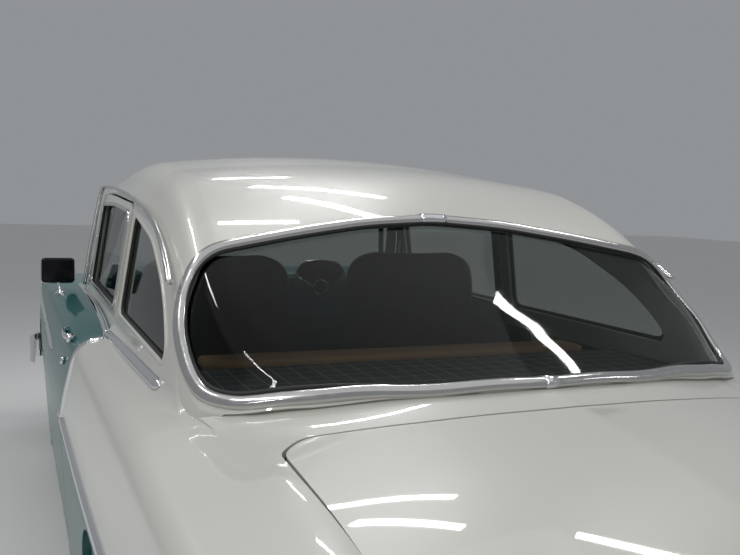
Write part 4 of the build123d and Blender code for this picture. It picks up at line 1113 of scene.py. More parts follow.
def window_rise(x, station):
    """How far the deck sweeps up towards the rear window's foot."""
    foot = eased(plan_edge[:, 0], plan_edge[:, 1], np.abs(x))
    return WINDOW_RISE * np.clip((foot + RISE_REACH - station) / RISE_REACH, 0, 1.0) ** 2


half = np.abs(deck_x)
crest_z = eased(REAR_SIDE[:, 0], REAR_SIDE[:, 8], deck_s) + CREST_RISE
across = np.clip((half - DECK_INNER_X) / (DECK_OUTER_X - DECK_INNER_X), 0, 1)
side_z = deck_edge(deck_s) + (crest_z - deck_edge(deck_s)) * across
blend = smooth_step(np.clip((half - STRIP_START) / STRIP_BLEND, 0, 1))
rise_z = window_rise(deck_x, deck_s) * fading(half, DECK_OUTER_X, 60)
deck_z = lid_height(deck_x, deck_s) * (1 - blend) + side_z * blend + rise_z
deck_grid = np.stack([deck_x, deck_s, deck_z], -1)
window_foot = [(x, station, 0) for x, station, _ in WINDOW_EDGE[:7]] + [(721, 2700, 0)]
foot_outline = window_foot + [(-x, station, radius) for x, station, radius in reversed(window_foot[1:])]
lid_hole = [(x * (1 + PANEL_GAP / LID_CORNER_X), station - PANEL_GAP, radius)
            for x, station, radius in LID_OUTLINE]
deck_keep = np.minimum.reduce([-inside(deck_x, deck_s, lid_hole),
                               MOULDING_HALF - inside(deck_x, deck_s, foot_outline),
                               quarter_top_x(deck_s) + 1.5 - half])
panel("deck_skin", deck_grid, deck_keep, DECK_WALL, "body", ivory, primer, nodes=["rear_deck"], flip=True)
print("deck grid:", deck_grid.shape)

# %% [markdown]
# ## Gutters
# Below the gap of the boot lid runs a gutter that leads rain away, and without it one could look into the
# boot. On the car it is a folded channel. Only its outer wall can be seen through the gap, so one upright
# sheet under each edge is enough.

# %% Make the gutters
GUTTER_X = 625.0
GUTTER_WALL = 6.0
GUTTER_DROP = 9
gutter_s, gutter_t = np.meshgrid(np.arange(3560, BODY_REAR + 22, 15.0), np.linspace(0, 1, 9), indexing="ij")
gutter_top = deck_edge(np.minimum(gutter_s, BODY_REAR)) - GUTTER_DROP
gutter_foot = np.interp(gutter_s, [3560, 3900, 4000, 4100], [900, 800, 600, 548])
for side, sign in (("left", 1), ("right", -1)):
    gutter = np.stack([np.full(gutter_s.shape, sign * GUTTER_X), gutter_s,
                       gutter_top + (gutter_foot - gutter_top) * gutter_t], -1)
    panel(f"lid_gutter_{side}", gutter, np.ones(gutter_s.shape), sign * GUTTER_WALL, "body", ivory, ivory)
print("gutter grid:", gutter_s.shape)

# %% [markdown]
# ## Boot lid
# The lid follows the deck's heights, so that the two lie flush, and past its bend it falls to the lip. A
# grid over the plan would be stretched thin on that steep fall. So the lid is drawn column by column: the
# top from the deck's heights, then a rounded outline down to the lip.

# %% Make the boot lid
LID_WALL = 20.0
LID_KNEE_RADIUS = 210
LID_LIP_Z = 560
lid_stations = np.arange(3190, 3900, 12.0)
lid_columns = []
for x in np.linspace(-LID_CORNER_X, LID_CORNER_X, 71):
    rear, knee_z, lip = (float(eased(LID[:, 0], LID[:, k], abs(x))) for k in (3, 4, 5))
    top = [(s, float(lid_height(x, s)) + float(window_rise(x, s))) for s in lid_stations]
    corners = [(*top[-1], 0), (rear, knee_z - 8, LID_KNEE_RADIUS), (lip, LID_LIP_Z, 0)]
    fall = round_path(corners, [8, 14], arc=18)
    lid_columns.append([(x, s, z) for s, z in top + [tuple(spot) for spot in fall[1:]]])
lid_grid = np.array(lid_columns)
lid_keep = inside(lid_grid[..., 0], lid_grid[..., 1], LID_OUTLINE) + 0.01
panel("trunk_lid_skin", lid_grid, lid_keep, LID_WALL, "trunk_lid", ivory, primer, nodes=["trunk_lid"])
print("lid grid:", lid_grid.shape)

# %% [markdown]
# ## Window mouldings
# The bright frame round a window hides the gap between glass and metal. It has to follow the opening
# exactly, so its path is the rim of the opening itself, found on the skin by the same measure. The rear
# window's frame comes in two halves, which a small clip joins at the top and at the bottom. A black
# gasket lies inside it.

# %% Make the window mouldings
roof_normals = grid_normals(roof_grid)


def rim_lines(measure):
    """Lines on the roof's skin where a measure is nought, as (points, normals), longest first."""
    points, norms, faces = clipped(roof_grid, roof_normals, measure)
    return sorted(((points[loop], norms[loop]) for loop in rims(faces)), key=lambda line: -len(line[0]))


rear_line, rear_ups = rim_lines(window_inside - MOULDING_HALF)[0]
gasket_line, gasket_ups = rim_lines(window_inside - 2 * MOULDING_HALF)[0]
moulding("rear_window_gasket", gasket_line - gasket_ups * 5, gasket_ups, half_oval(12, 5), "body",
         black_rubber, closed=True, rounds=8)
moulding("rear_window_moulding", rear_line, rear_ups, half_oval(31, 11, 11), "body", stainless,
         closed=True, rounds=8)
for name, near in (("foot", (0, 3170, 1045)), ("head", (0, 2584, 1384))):
    k = int(np.argmin(((rear_line - np.array(near)) ** 2).sum(1)))
    around = [rear_line[(k + j) % len(rear_line)] for j in (-1, 0, 1)]
    moulding(f"moulding_clip_{name}", around, [rear_ups[k]] * 3, half_oval(34, 13.5, 11), "body", chrome,
             step=9, rounds=0)
front_line, front_ups = rim_lines(windshield_measure(roof_grid) - MOULDING_HALF)[0]
moulding("windshield_moulding", front_line, front_ups, half_oval(26, 9), "body", stainless, closed=True,
         rounds=8)
QUARTER_SEAL = [(-12, -4), (-9, 4), (0, 6), (9, 4), (12, -4)]
for name, (points, ups) in zip(("left", "right"), rim_lines(side_measure(roof_grid, QUARTER_GLASS))):
    moulding(f"quarter_glass_trim_{name}", points, ups, half_oval(14, 4), "body", ivory, closed=True,
             rounds=4)
    moulding(f"quarter_glass_seal_{name}", points - ups * SEAL_SINK, ups, QUARTER_SEAL, "body",
             black_rubber, closed=True, rounds=4)
print("rear window's rim:", len(rear_line), "points; windshield's:", len(front_line))

# %% [markdown]
# ## Side strips
# Drip rails, belt mouldings and the long spears are straight stock, bent onto the body by hand. A few
# points in a table stand for that. Where a strip lies on a panel, its points are laid onto the nearest
# part of the grid, so that it neither floats nor sinks. The right side is the left side's mirror image.

# %% Lines of the side strips
# Columns: x, station, z
DRIP_RAIL = [(748, 842, 1012), (733, 890, 1150), (712, 945, 1300), (697, 985, 1400), (694, 1060, 1432),
             (694, 1400, 1429), (697, 1761, 1413), (699, 1994, 1394), (703, 2230, 1371), (707, 2415, 1340),
             (712, 2537, 1308), (717, 2631, 1274), (721, 2698, 1244), (725, 2738, 1221)]
DOOR_BELT = [(757, 700, 1000), (760, 1250, 994), (764, 1700, 978), (768, 1858, 966)]
QUARTER_BELT = [(772, 1880, 966), (768, 1915, 968), (764, 2100, 975), (760, 2417, 987), (752, 2765, 995)]
SASH = [(788, 1950, 962), (830, 1946, 956), (862, 1938, 930), (885, 1922, 860), (900, 1904, 780),
        (908, 1890, 700)]
REAR_SPEAR = [(912, 1884, 698), (911, 2100, 699), (905, 2700, 699), (893, 3400, 698), (866, 4070, 696)]
DOOR_SPEAR = [(912, 1762, 700), (912, 1858, 699)]
FRONT_SPEAR_DOOR = [(905, 664, 822), (905, 950, 812), (903, 1190, 800)]
FRONT_SPEAR_FENDER = [(884, -560, 818), (896, -200, 822), (903, 300, 824), (905, 642, 822)]
# Upward directions of the strips that stand free of a grid
RAIL_UP = [0.96, 0.0, 0.28]
BELT_UP = [0.80, 0.0, 0.60]
RAIL_PROFILE = [(-5, -3), (-5, 7), (0, 13), (5, 9), (5, -3)]
fender_grid = side_grid(FRONT_SIDE, np.arange(-640, 651, 15.0))
# Columns: name, line, profile, carrier, grid or upward direction, taper, finish
STRIPS = [
    ("drip_rail", DRIP_RAIL, RAIL_PROFILE, "body", RAIL_UP, 0, stainless),
    ("door_belt", DOOR_BELT, half_oval(22, 9), "door", door_grid, 0, chrome),
    ("quarter_belt", QUARTER_BELT, half_oval(32, 12), "body", BELT_UP, 30, chrome),
    ("sash", SASH, half_oval(16, 8), "body", quarter_left_grid, 0, chrome),
    ("rear_spear", REAR_SPEAR, half_oval(26, 10), "body", quarter_left_grid, 0, chrome),
    ("door_spear", DOOR_SPEAR, half_oval(26, 10), "door", door_grid, 60, chrome),
    ("front_spear_door", FRONT_SPEAR_DOOR, half_oval(24, 10), "door", door_grid, 90, chrome),
    ("front_spear_fender", FRONT_SPEAR_FENDER, half_oval(24, 10), "body", fender_grid, 60, chrome),
]
print("strips on each side:", len(STRIPS))

# %% [markdown]
# A strip on a panel takes its upward direction from the grid below it. The drip rails and the quarter's
# belt stand on edges, where the skin has no one direction, so theirs is given.

# %% Make the side strips
STRIP_STEP = 15.0


def laid_on(grid, line):
    """A line of given points, spaced evenly and laid onto the nearest part of a grid."""
    flat, flat_normals = grid.reshape(-1, 3), grid_normals(grid).reshape(-1, 3)
    points, ups = [], []
    for spot in resampled(line, STRIP_STEP, False):
        near = int(np.argmin(((flat - spot) ** 2).sum(1)))
        up = flat_normals[near]
        points.append(spot - up * ((spot - flat[near]) @ up))
        ups.append(up)
    return np.array(points), softened(ups, 6, False)


for name, line, profile, carrier, skin, taper, finish in STRIPS:
    if isinstance(skin, list):
        points = softened(resampled(line, STRIP_STEP, False), 6, False)
        ups = np.tile(skin, (len(points), 1))
    else:
        points, ups = laid_on(skin, line)
    twin = ("right", (points * MIRRORED)[::-1], (ups * MIRRORED)[::-1])
    for side, place, upward in (("left", points, ups), twin):
        body = carrier if carrier == "body" else f"door_{side}"
        moulding(f"{name}_{side}", place, upward, profile, body, finish, taper=taper)
print("strips made:", 2 * len(STRIPS))

# %% [markdown]
# ## Small hard parts
# Handles, locks and mirrors are cast and polished, with soft edges that catch the light. Two helpers make
# nearly all of them. One bevels a block with Blender's modifier and keeps the result in the mesh. The
# other turns a profile about an axis, as a lathe does, which is cleaner than rounding a cylinder.

# %% Helpers for blocks and turned bodies
def kept_result(made):
    """The mesh that an object's modifiers give, with the modifiers taken off the object."""
    bpy.context.view_layer.update()
    done = bpy.data.meshes.new_from_object(made.evaluated_get(bpy.context.evaluated_depsgraph_get()))
    made.modifiers.clear()
    return done


def placed_at(place):
    """The move to a place in millimetres."""
    return Matrix.Translation(Vector(to_frame(place).tolist()))


def rounded_block(name, size, bevel, place, finish, body, segments=4, nodes=()):
    """A block with rounded edges. size, bevel and place are millimetres."""
    mesh = bpy.data.meshes.new(name)
    sx, sy, sz = (v / 2000 for v in size)
    corners = [(x, y, z) for x in (-sx, sx) for y in (-sy, sy) for z in (-sz, sz)]
    sides = [(0, 1, 3, 2), (4, 6, 7, 5), (0, 4, 5, 1), (2, 3, 7, 6), (0, 2, 6, 4), (1, 5, 7, 3)]
    mesh.from_pydata(corners, [], sides)
    mesh.materials.append(finish)
    made = linked(name, mesh)
    soft = made.modifiers.new("Round", "BEVEL")
    soft.width, soft.segments, soft.limit_method = bevel / 1000, segments, "NONE"
    made.data = kept_result(made)
    made.data.transform(placed_at(place))
    made.data.polygons.foreach_set("use_smooth", [True] * len(made.data.polygons))
    return stands_on(made, body, nodes)


def turned_body(name, profile, start, axis, finish, body, steps=32, nodes=()):
    """A body turned about an axis from start. profile holds (along, radius) in millimetres."""
    axis = Vector(axis).normalized()
    side = axis.orthogonal().normalized()
    other = axis.cross(side)
    points, faces = [], []
    for along, radius in profile:
        for k in range(steps):
            a = 2 * math.pi * k / steps
            spot = Vector(start) + axis * along + (side * math.cos(a) + other * math.sin(a)) * radius
            points.append(tuple(spot))
    for i in range(len(profile) - 1):
        for k in range(steps):
            a, b = i * steps + k, i * steps + (k + 1) % steps
            faces.append([a, b, b + steps, a + steps])
    return stands_on(mesh_object(name, points, faces, [finish]), body, nodes)


print("blocks and turned bodies ready")

# %% [markdown]
# ## Door handles and locks
# The handle is a bar that leaves the door, runs along it and comes back, with a push button at its rear
# end. The bar is swept like a moulding, with an oval section. Button and lock are turned.

# %% Make the handles and locks
HANDLE_STATION = 1690.0
HANDLE_Z = 938.0
HANDLE_X = 868.0
# The bar from front to rear. Columns: outwards, station
GRIP = [(-6, -92), (16, -72), (20, 10), (12, 70), (-6, 86)]
GRIP_RADIUS = 11
GRIP_FLATNESS = 0.6
BUTTON = [(0, 0.1), (0, 15), (20, 15), (24, 12), (25, 0.1)]
LOCK = [(0, 0.1), (0, 13), (10, 13), (13, 9), (13, 0.1)]
turns = np.linspace(0, 2 * math.pi, 10, endpoint=False)
oval = np.stack([np.cos(turns) * GRIP_RADIUS, np.sin(turns) * GRIP_RADIUS * GRIP_FLATNESS], -1)
for side, sign in (("left", 1), ("right", -1)):
    door = f"door_{side}"
    grip = [(sign * (HANDLE_X + out), HANDLE_STATION + along, HANDLE_Z) for out, along in GRIP]
    outward = np.tile([float(sign), 0.0, 0.0], (len(grip), 1))
    moulding(f"handle_grip_{side}", grip, outward, oval, door, chrome, step=8, rounds=6)
    turned_body(f"handle_button_{side}", BUTTON, (sign * (HANDLE_X - 8), HANDLE_STATION + 84, HANDLE_Z),
                (sign, 0, 0), chrome, door)
    turned_body(f"lock_{side}", LOCK, (sign * 886, 1704, 850), (sign, 0, 0.2), chrome, door)
print("handles made, points in each grip:", len(grip))

# %% [markdown]
# ## Mirror
# One mirror stands on the left door: a cast head on a short stalk, with its glass to the rear. A shader
# that mirrors fully would show the pale surround of this scene and look like a hole, so the face is painted
# near black, as a painted reflection of a dark room, and is only partly glossy.

# %% Make the mirror
MIRROR_X, MIRROR_STATION, MIRROR_Z = 860.0, 830.0, 1070.0
FACE_OUT = 7
STALK = [(0, 22), (6, 21), (12, 9), (50, 7), (84, 7)]
STALK_FOOT = (850, 830, 972)
# The face's near-black colour is a painted reflection of a dark room, in place of a true mirror.
mirror_dark = material("Mirror face", (0.006, 0.006, 0.007, 1.0), roughness=0.12, grain=(14.0, 0.04),
                       Specular_IOR_Level=0.2)
rounded_block("mirror_head", (140, 38, 114), 18, (MIRROR_X, MIRROR_STATION, MIRROR_Z), chrome, "door_left",
              segments=5, nodes=["door_mirror"])
rounded_block("mirror_face", (134, 30, 108), 14, (MIRROR_X, MIRROR_STATION + FACE_OUT, MIRROR_Z),
              mirror_dark, "door_left", segments=5)
turned_body("mirror_stalk", STALK, STALK_FOOT, (0.10, 0, 1), chrome, "door_left")
print("mirror made, stalk's length:", STALK[-1][0])

# %% [markdown]
# ## Finishes of the CAD pieces that stay
# Fenders, hood, bumpers, chassis and engine keep their CAD shape. Their record names a slot for each, and
# one table turns the slots into the finishes above, so that a piece added later is painted too. The strip
# under the windshield is the one exception: it is in the colour of the body.

# %% Paint the CAD pieces
CAD_FINISH = {
    "teal_paint": teal, "ivory_paint": ivory, "body_underside": primer, "frame_black": frame_black,
    "engine_paint": engine_grey, "exhaust_steel": dull_steel, "bright_trim": chrome, "lamp_glass": lamp_lens,
    "red_lens": red_lens, "window_glass": clear_glass, "dash_paint": dash_teal,
    "steering_plastic": black_plastic, "seat_leather": seat_black, "tyre_rubber": tyre_black,
    "wheel_chrome": chrome,
}
NODE_FINISH = {"cowl": teal}
slot_of = {part["node"]: part["material_slot"] for part in frame["record"]["subparts"]}
for node, thing in frame["nodes"].items():
    thing.data.materials.clear()
    thing.data.materials.append(NODE_FINISH.get(node, CAD_FINISH[slot_of[node]]))
print("CAD nodes painted:", len(slot_of))

# %% [markdown]
# ## Cloths
# Tweed is a mix of dark and light threads, too fine to model. Noise stands for the threads, in colour and
# in relief. The shelf's tan checks are two sets of thin lines, drawn with a little arithmetic: a
# coordinate that goes to and fro between nought and half a check is small only at the lines.

# %% Draw the checks
CHECK_SIZE = 0.055
CHECK_LINE = 0.0016


def check_lines(made):
    """A value that is one on thin lines along X and Y, and nought between them."""
    nodes, links = made.node_tree.nodes, made.node_tree.links
    place = nodes.new("ShaderNodeTexCoord")
    split = nodes.new("ShaderNodeSeparateXYZ")
    either = nodes.new("ShaderNodeMath")
    either.operation = "MAXIMUM"
    links.new(place.outputs["Object"], split.inputs[0])
    for k, axis in enumerate("XY"):
        pace = nodes.new("ShaderNodeMath")
        pace.operation = "PINGPONG"
        pace.inputs[1].default_value = CHECK_SIZE / 2
        narrow = nodes.new("ShaderNodeMath")
        narrow.operation = "LESS_THAN"
        narrow.inputs[1].default_value = CHECK_LINE
        links.new(split.outputs[axis], pace.inputs[0])
        links.new(pace.outputs[0], narrow.inputs[0])
        links.new(narrow.outputs[0], either.inputs[k])
    return either.outputs[0]


print("checks of", CHECK_SIZE, "m, with lines", 2 * CHECK_LINE, "m wide")

# %% [markdown]
# The vinyl of the tan band has no threads, but its grain can be made in the same way, only coarser and
# with less relief.

# %% Mix the cloths
def woven(name, dark, light, thread, bump=0.4, line=None):
    """Cloth with a thread pattern, and with checks where a line colour is given. thread is its scale."""
    made = material(name, dark, roughness=0.9)
    nodes, links = made.node_tree.nodes, made.node_tree.links
    shader = nodes["Principled BSDF"]
    place = nodes.new("ShaderNodeTexCoord")
    weave = nodes.new("ShaderNodeTexNoise")
    weave.inputs["Scale"].default_value = thread
    weave.inputs["Detail"].default_value = 3.0
    mix = nodes.new("ShaderNodeMix")
    mix.data_type = "RGBA"
    mix.inputs["A"].default_value = dark
    mix.inputs["B"].default_value = light
    raised = nodes.new("ShaderNodeBump")
    raised.inputs["Strength"].default_value = bump
    raised.inputs["Distance"].default_value = 0.001
    links.new(place.outputs["Object"], weave.inputs["Vector"])
    links.new(weave.outputs["Fac"], mix.inputs["Factor"])
    links.new(weave.outputs["Fac"], raised.inputs["Height"])
    links.new(raised.outputs["Normal"], shader.inputs["Normal"])
    colour = mix.outputs["Result"]
    if line:
        checks = nodes.new("ShaderNodeMix")
        checks.data_type = "RGBA"
        checks.inputs["B"].default_value = line
        links.new(colour, checks.inputs["A"])
        links.new(check_lines(made), checks.inputs["Factor"])
        colour = checks.outputs["Result"]
    links.new(colour, shader.inputs["Base Color"])
    return made


tweed = woven("Shelf tweed", (0.022, 0.034, 0.042, 1.0), (0.085, 0.11, 0.12, 1.0), 420.0,
              line=(0.30, 0.20, 0.12, 1.0))
tan_vinyl = woven("Tan vinyl", (0.30, 0.175, 0.085, 1.0), (0.40, 0.25, 0.13, 1.0), 180.0, bump=0.25)
print("cloths:", tweed.name, tan_vinyl.name)

# %% [markdown]
# ## Parcel shelf and tan band
# Behind the rear seat a board lies under the window, covered in checked cloth, and a padded tan band runs
# along its front edge. Cloth over a board is never quite flat, so the sheet has a wave of about a
# millimetre. The band is a block with a wide bevel.

# %% Make the shelf and the band
SHELF_Z = 977.0
SHELF_WALL = 14.0
SHELF_WAVE = 1.2
# Outline seen from above. Columns: x, station, corner radius
SHELF = [(0, 2536, 0), (712, 2536, 0), (712, 2780, 0), (696, 2985, 60), (520, 3090, 0), (0, 3128, 0),
         (-520, 3090, 0), (-696, 2985, 60), (-712, 2780, 0), (-712, 2536, 0)]
shelf_s, shelf_x = np.meshgrid(np.arange(2530, 3136, 20.0), np.linspace(716, -716, 61), indexing="ij")
shelf_z = SHELF_Z + SHELF_WAVE * np.sin(shelf_x / 95) * np.cos(shelf_s / 70)
shelf_grid = np.stack([shelf_x, shelf_s, shelf_z], -1)
shelf, _ = panel("parcel_shelf", shelf_grid, inside(shelf_x, shelf_s, SHELF), SHELF_WALL, "body", tweed,
                 primer, nodes=["rear_deck"])
rounded_block("tan_band", (1190, 112, 30), 12, (0, 2466, 976), tan_vinyl, "body", segments=6)
print("shelf faces:", len(shelf.data.polygons))

# %% [markdown]
# ## Face of the dashboard
# The gauges stand in a fan-shaped housing in front of the driver, and the speaker has a matching one on
# the other side. A silver band joins them. The housings are sheets cut to the fan and swollen a little
# towards their middle; a bright rim follows the cut, and dial and ring are turned.

# %% Make the face of the dashboard
DASH_FACE = 903.0
FAN_X = 308.0
FAN_DEPTH = 52.0
FAN_SWELL = 7
DIAL_Z = 992
# Outline of the housings. Columns: x from its middle, z, corner radius
FAN = [(0, 978, 30), (136, 1056, 26), (90, 1112, 60), (0, 1124, 200), (-90, 1112, 60), (-136, 1056, 26)]
# Turned profiles. Columns: rearwards, radius
DIAL_RING = [(0, 0.1), (0, 40), (10, 40), (15, 36), (12, 31), (9, 30), (9, 0.1)]
DIAL = [(0, 0.1), (0, 30), (3, 29), (5, 20), (6, 0.1)]
fan_x, fan_z = np.meshgrid(np.linspace(-150, 150, 61), np.linspace(960, 1132, 41), indexing="ij")
fan_inside = inside(fan_x, fan_z, FAN)
fan_face = DASH_FACE + FAN_SWELL * np.clip(fan_inside / 40, 0, 1) ** 0.5
rounded_block("dash_band", (1180, 8, 56), 3, (0, 893.5, 1012), dash_silver, "body")
for side, sign in (("left", 1), ("right", -1)):
    middle = sign * FAN_X
    fan_grid = np.stack([fan_x + middle, fan_face, fan_z], -1)
    _, found = panel(f"dash_fan_{side}", fan_grid, fan_inside, FAN_DEPTH, "body", black_plastic, flip=True)
    moulding(f"dash_fan_rim_{side}", *found[0], half_oval(9, 5), "body", chrome, closed=True, step=8,
             rounds=3)
    turned_body(f"dash_dial_ring_{side}", DIAL_RING, (middle, DASH_FACE + 2, DIAL_Z), (0, 1, 0), chrome,
                "body", steps=40)
    turned_body(f"dash_dial_{side}", DIAL, (middle, DASH_FACE + 10, DIAL_Z), (0, 1, 0), black_plastic,
                "body", steps=40)
print("points round each housing:", len(found[0][0]))

# %% [markdown]
# ## Seat pads
# A seat pad is foam in a sewn cover: the cover pulls tight over the foam and bulges between its seams.
# Sculpting that by hand would differ from pad to pad. Here a rounded block is remeshed evenly, and
# Blender's cloth blows it up for a few frames like a balloon. The bulge is capped, so that the pad keeps
# the size that the CAD gives it.

# %% Blow up a pad
CLOTH_FRAMES = 14
BULGE_CAP = 0.016
CROWN = 14.0


def cloth_filled(name, size, voxel, finish):
    """A block in the middle of the row's frame, blown up as cloth: the object and its points in metres."""
    made = rounded_block(name, [v - 2 * CROWN for v in size], min(size) * 0.30, (0, MID_STATION, 0), finish,
                         "body", segments=5)
    fit = made.modifiers.new("Remesh", "REMESH")
    fit.mode, fit.voxel_size = "VOXEL", voxel
    made.data = kept_result(made)
    start = np.array([v.co for v in made.data.vertices])
    cloth = made.modifiers.new("Fill", "CLOTH")
    cloth.settings.use_pressure = True
    cloth.settings.uniform_pressure_force = 4.0
    cloth.settings.effector_weights.gravity = 0.0
    cloth.settings.tension_stiffness = 20.0
    for frame_number in range(1, CLOTH_FRAMES + 1):
        bpy.context.scene.frame_set(frame_number)
    made.data = kept_result(made)
    bpy.context.scene.frame_set(1)
    made.data.materials.clear()
    made.data.materials.append(finish)
    move = np.array([v.co for v in made.data.vertices]) - start
    far = np.linalg.norm(move, axis=1, keepdims=True)
    return made, start + move * np.minimum(1, BULGE_CAP / np.maximum(far, 1e-9))


print("pads are blown up for", CLOTH_FRAMES, "frames")

# %% [markdown]
# The blown form is then brought to its exact size. Sewn channels are grooves that press the thin side in
# along evenly spaced lines, and a seat's back is rounded off at its two top corners. Last, the pad is
# leaned and set in place, with its twin on the other side of the car.

# %% Shape and place a pad
GROOVE_HALF = 0.006
GROOVE_DEPTH = 0.10


def pad(name, size, place, lean, channels, voxel=0.010, shoulder=0.0, twin=None, node=None):
    """A stuffed pad. size, place and shoulder, the radius of its top corners, are millimetres. lean is in
    degrees about the car's cross axis. channels are sewn grooves down its face, twin is a second place."""
    made, spots = cloth_filled(name, size, voxel, seat_black)
    half = np.array(size) / 2000
    middle = (spots.max(0) + spots.min(0)) / 2
    spots = (spots - middle) * (half / ((spots.max(0) - spots.min(0)) / 2))
    pitch = size[0] / 1000 / channels
    off_line = np.mod(spots[:, 0] + pitch / 2, pitch) - pitch / 2
    groove = np.exp(-(off_line / GROOVE_HALF) ** 2)
    inner = np.clip((half[0] * 0.86 - np.abs(spots[:, 0])) / 0.02, 0, 1)
    spots[:, int(np.argmin(size))] *= 1 - groove * inner * GROOVE_DEPTH
    if shoulder:
        radius = shoulder / 1000
        over = np.clip(spots[:, 2] - (half[2] - radius), 0, radius)
        narrowing = 1 - 0.06 * np.clip(spots[:, 2] / half[2], 0, 1)
        spots[:, 0] *= (half[0] - radius + np.sqrt(radius * radius - over * over)) / half[0] * narrowing
    made.data.vertices.foreach_set("co", spots.ravel())
    made.data.polygons.foreach_set("use_smooth", [True] * len(made.data.polygons))
    made.data.update()
    pads = [made]
    if twin:
        pads.append(stands_on(linked(f"{name}_2", made.data.copy()), "body"))
    for each, spot in zip(pads, (place, twin)):
        each.data.transform(placed_at(spot) @ Matrix.Rotation(math.radians(lean), 4, "X"))
        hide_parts(node)
    return made


print("grooves press in by", GROOVE_DEPTH, "of the pad's thickness")

# %% [markdown]
# ## Seats
# In front stand two separate seats with high backs, on low bases. The rear seat is one bench. All are
# black vinyl with sewn channels. The left front back stands a little lower than the right one, as in the
# photo.

# %% Make the seats
SEAT_X = 382.0
BACK_Z = 842
BACK_SIZE = (560, 134, 732)
BENCH_VOXEL = 0.014
backs = pad("front_back", BACK_SIZE, (SEAT_X, 1738, BACK_Z), 4.5, 5, shoulder=110,
            twin=(-SEAT_X, 1738, BACK_Z + 14), node="front_seats")
pad("front_cushion", (500, 500, 150), (SEAT_X, 1415, 480), -3, 5, twin=(-SEAT_X, 1415, 480),
    node="front_seats")
for k, x in enumerate((SEAT_X, -SEAT_X)):
    rounded_block(f"seat_base_{k}", (380, 440, 62), 12, (x, 1480, 378), seat_grey, "body",
                  nodes=["front_seats"])
pad("rear_cushion", (1196, 420, 150), (0, 2190, 478), -3, 10, voxel=BENCH_VOXEL, node="rear_seat")
pad("rear_back", (1196, 130, 480), (0, 2462, 742), 9, 10, voxel=BENCH_VOXEL, node="rear_seat")
print("faces of one seat back:", len(backs.data.polygons))

# %% [markdown]
# ## Tyre tread
# The tread of a bias-ply tyre is a few ribs of small blocks. Modelling each block would be tedious, and an
# array modifier can only set them along a line. Geometry Nodes set one block on every point of a circle
# and turn it to face outwards, so that size and number stay open until the end. The result is made real,
# because the export holds plain meshes.

# %% Nodes for the tread
def tread_tree():
    """Geometry Nodes that set a block round a circle in the plane across the axle, with named sizes."""
    tree = bpy.data.node_groups.new("Tread blocks", "GeometryNodeTree")
    face = tree.interface
    face.new_socket("Radius", in_out="INPUT", socket_type="NodeSocketFloat")
    face.new_socket("Count", in_out="INPUT", socket_type="NodeSocketInt")
    face.new_socket("Block size", in_out="INPUT", socket_type="NodeSocketVector")
    face.new_socket("Rubber", in_out="INPUT", socket_type="NodeSocketMaterial")
    face.new_socket("Tread", in_out="OUTPUT", socket_type="NodeSocketGeometry")
    nodes, links = tree.nodes, tree.links
    given = nodes.new("NodeGroupInput")
    ring = nodes.new("GeometryNodeMeshCircle")
    block = nodes.new("GeometryNodeMeshCube")
    spread = nodes.new("GeometryNodeInstanceOnPoints")
    place = nodes.new("GeometryNodeInputPosition")
    turn = nodes.new("FunctionNodeAlignEulerToVector")
    turn.axis = "X"
    turn.pivot_axis = "Z"
    real = nodes.new("GeometryNodeRealizeInstances")
    paint = nodes.new("GeometryNodeSetMaterial")
    result = nodes.new("NodeGroupOutput")
    links.new(given.outputs["Radius"], ring.inputs["Radius"])
    links.new(given.outputs["Count"], ring.inputs["Vertices"])
    links.new(given.outputs["Block size"], block.inputs["Size"])
    links.new(place.outputs[0], turn.inputs["Vector"])
    links.new(ring.outputs["Mesh"], spread.inputs["Points"])
    links.new(block.outputs["Mesh"], spread.inputs["Instance"])
    links.new(turn.outputs["Rotation"], spread.inputs["Rotation"])
    links.new(spread.outputs["Instances"], real.inputs["Geometry"])
    links.new(real.outputs["Geometry"], paint.inputs["Geometry"])
    links.new(given.outputs["Rubber"], paint.inputs["Material"])
    links.new(paint.outputs["Geometry"], result.inputs[0])
    return tree


tread_nodes = tread_tree()
print("tread nodes:", len(tread_nodes.nodes))

# %% [markdown]
# Five ribs side by side make the tread, and every other rib is turned by half a block. They are worked
# out once. Each wheel later gets a joined copy.

# %% Make the ribs
TREAD_RADIUS = 342.5
BLOCK_HEIGHT = 6.0
BLOCK_LENGTH = 24.0
# Columns: place along the axle, block width, blocks round the tyre, one for a turn by half a block
RIBS = [(-46, 17, 66, 0), (-23, 18, 60, 1), (0, 18, 60, 0), (23, 18, 60, 1), (46, 17, 66, 0)]


def rib_mesh(along, width, count, shift):
    """One rib round a tyre whose axle lies along z, at the origin."""
    carrier = linked("tread", bpy.data.meshes.new("tread"))
    grow = carrier.modifiers.new("Tread", "NODES")
    grow.node_group = tread_nodes
    sizes = {"Radius": TREAD_RADIUS / 1000, "Count": count, "Rubber": tyre_black,
             "Block size": (BLOCK_HEIGHT / 1000, BLOCK_LENGTH / 1000, width / 1000)}
    for item in tread_nodes.interface.items_tree:
        if item.in_out == "INPUT":
            grow[item.identifier] = sizes[item.name]
    mesh = kept_result(carrier)
    bpy.data.objects.remove(carrier)
    half_turn = Matrix.Rotation(shift * math.pi / count, 4, "Z")
    mesh.transform(Matrix.Translation((0, 0, along / 1000)) @ half_turn)
    return mesh


def joined(meshes, name):
    """One mesh of rubber from several."""
    points, faces = [], []
    for mesh in meshes:
        base = len(points)
        points.extend(tuple(v.co) for v in mesh.vertices)
        faces.extend([base + v for v in face.vertices] for face in mesh.polygons)
    made = bpy.data.meshes.new(name)
    made.from_pydata(points, [], faces)
    made.materials.append(tyre_black)
    made.update()
    return made


ribs = [rib_mesh(*rib) for rib in RIBS]
print("tread faces on each wheel:", sum(len(rib.polygons) for rib in ribs))

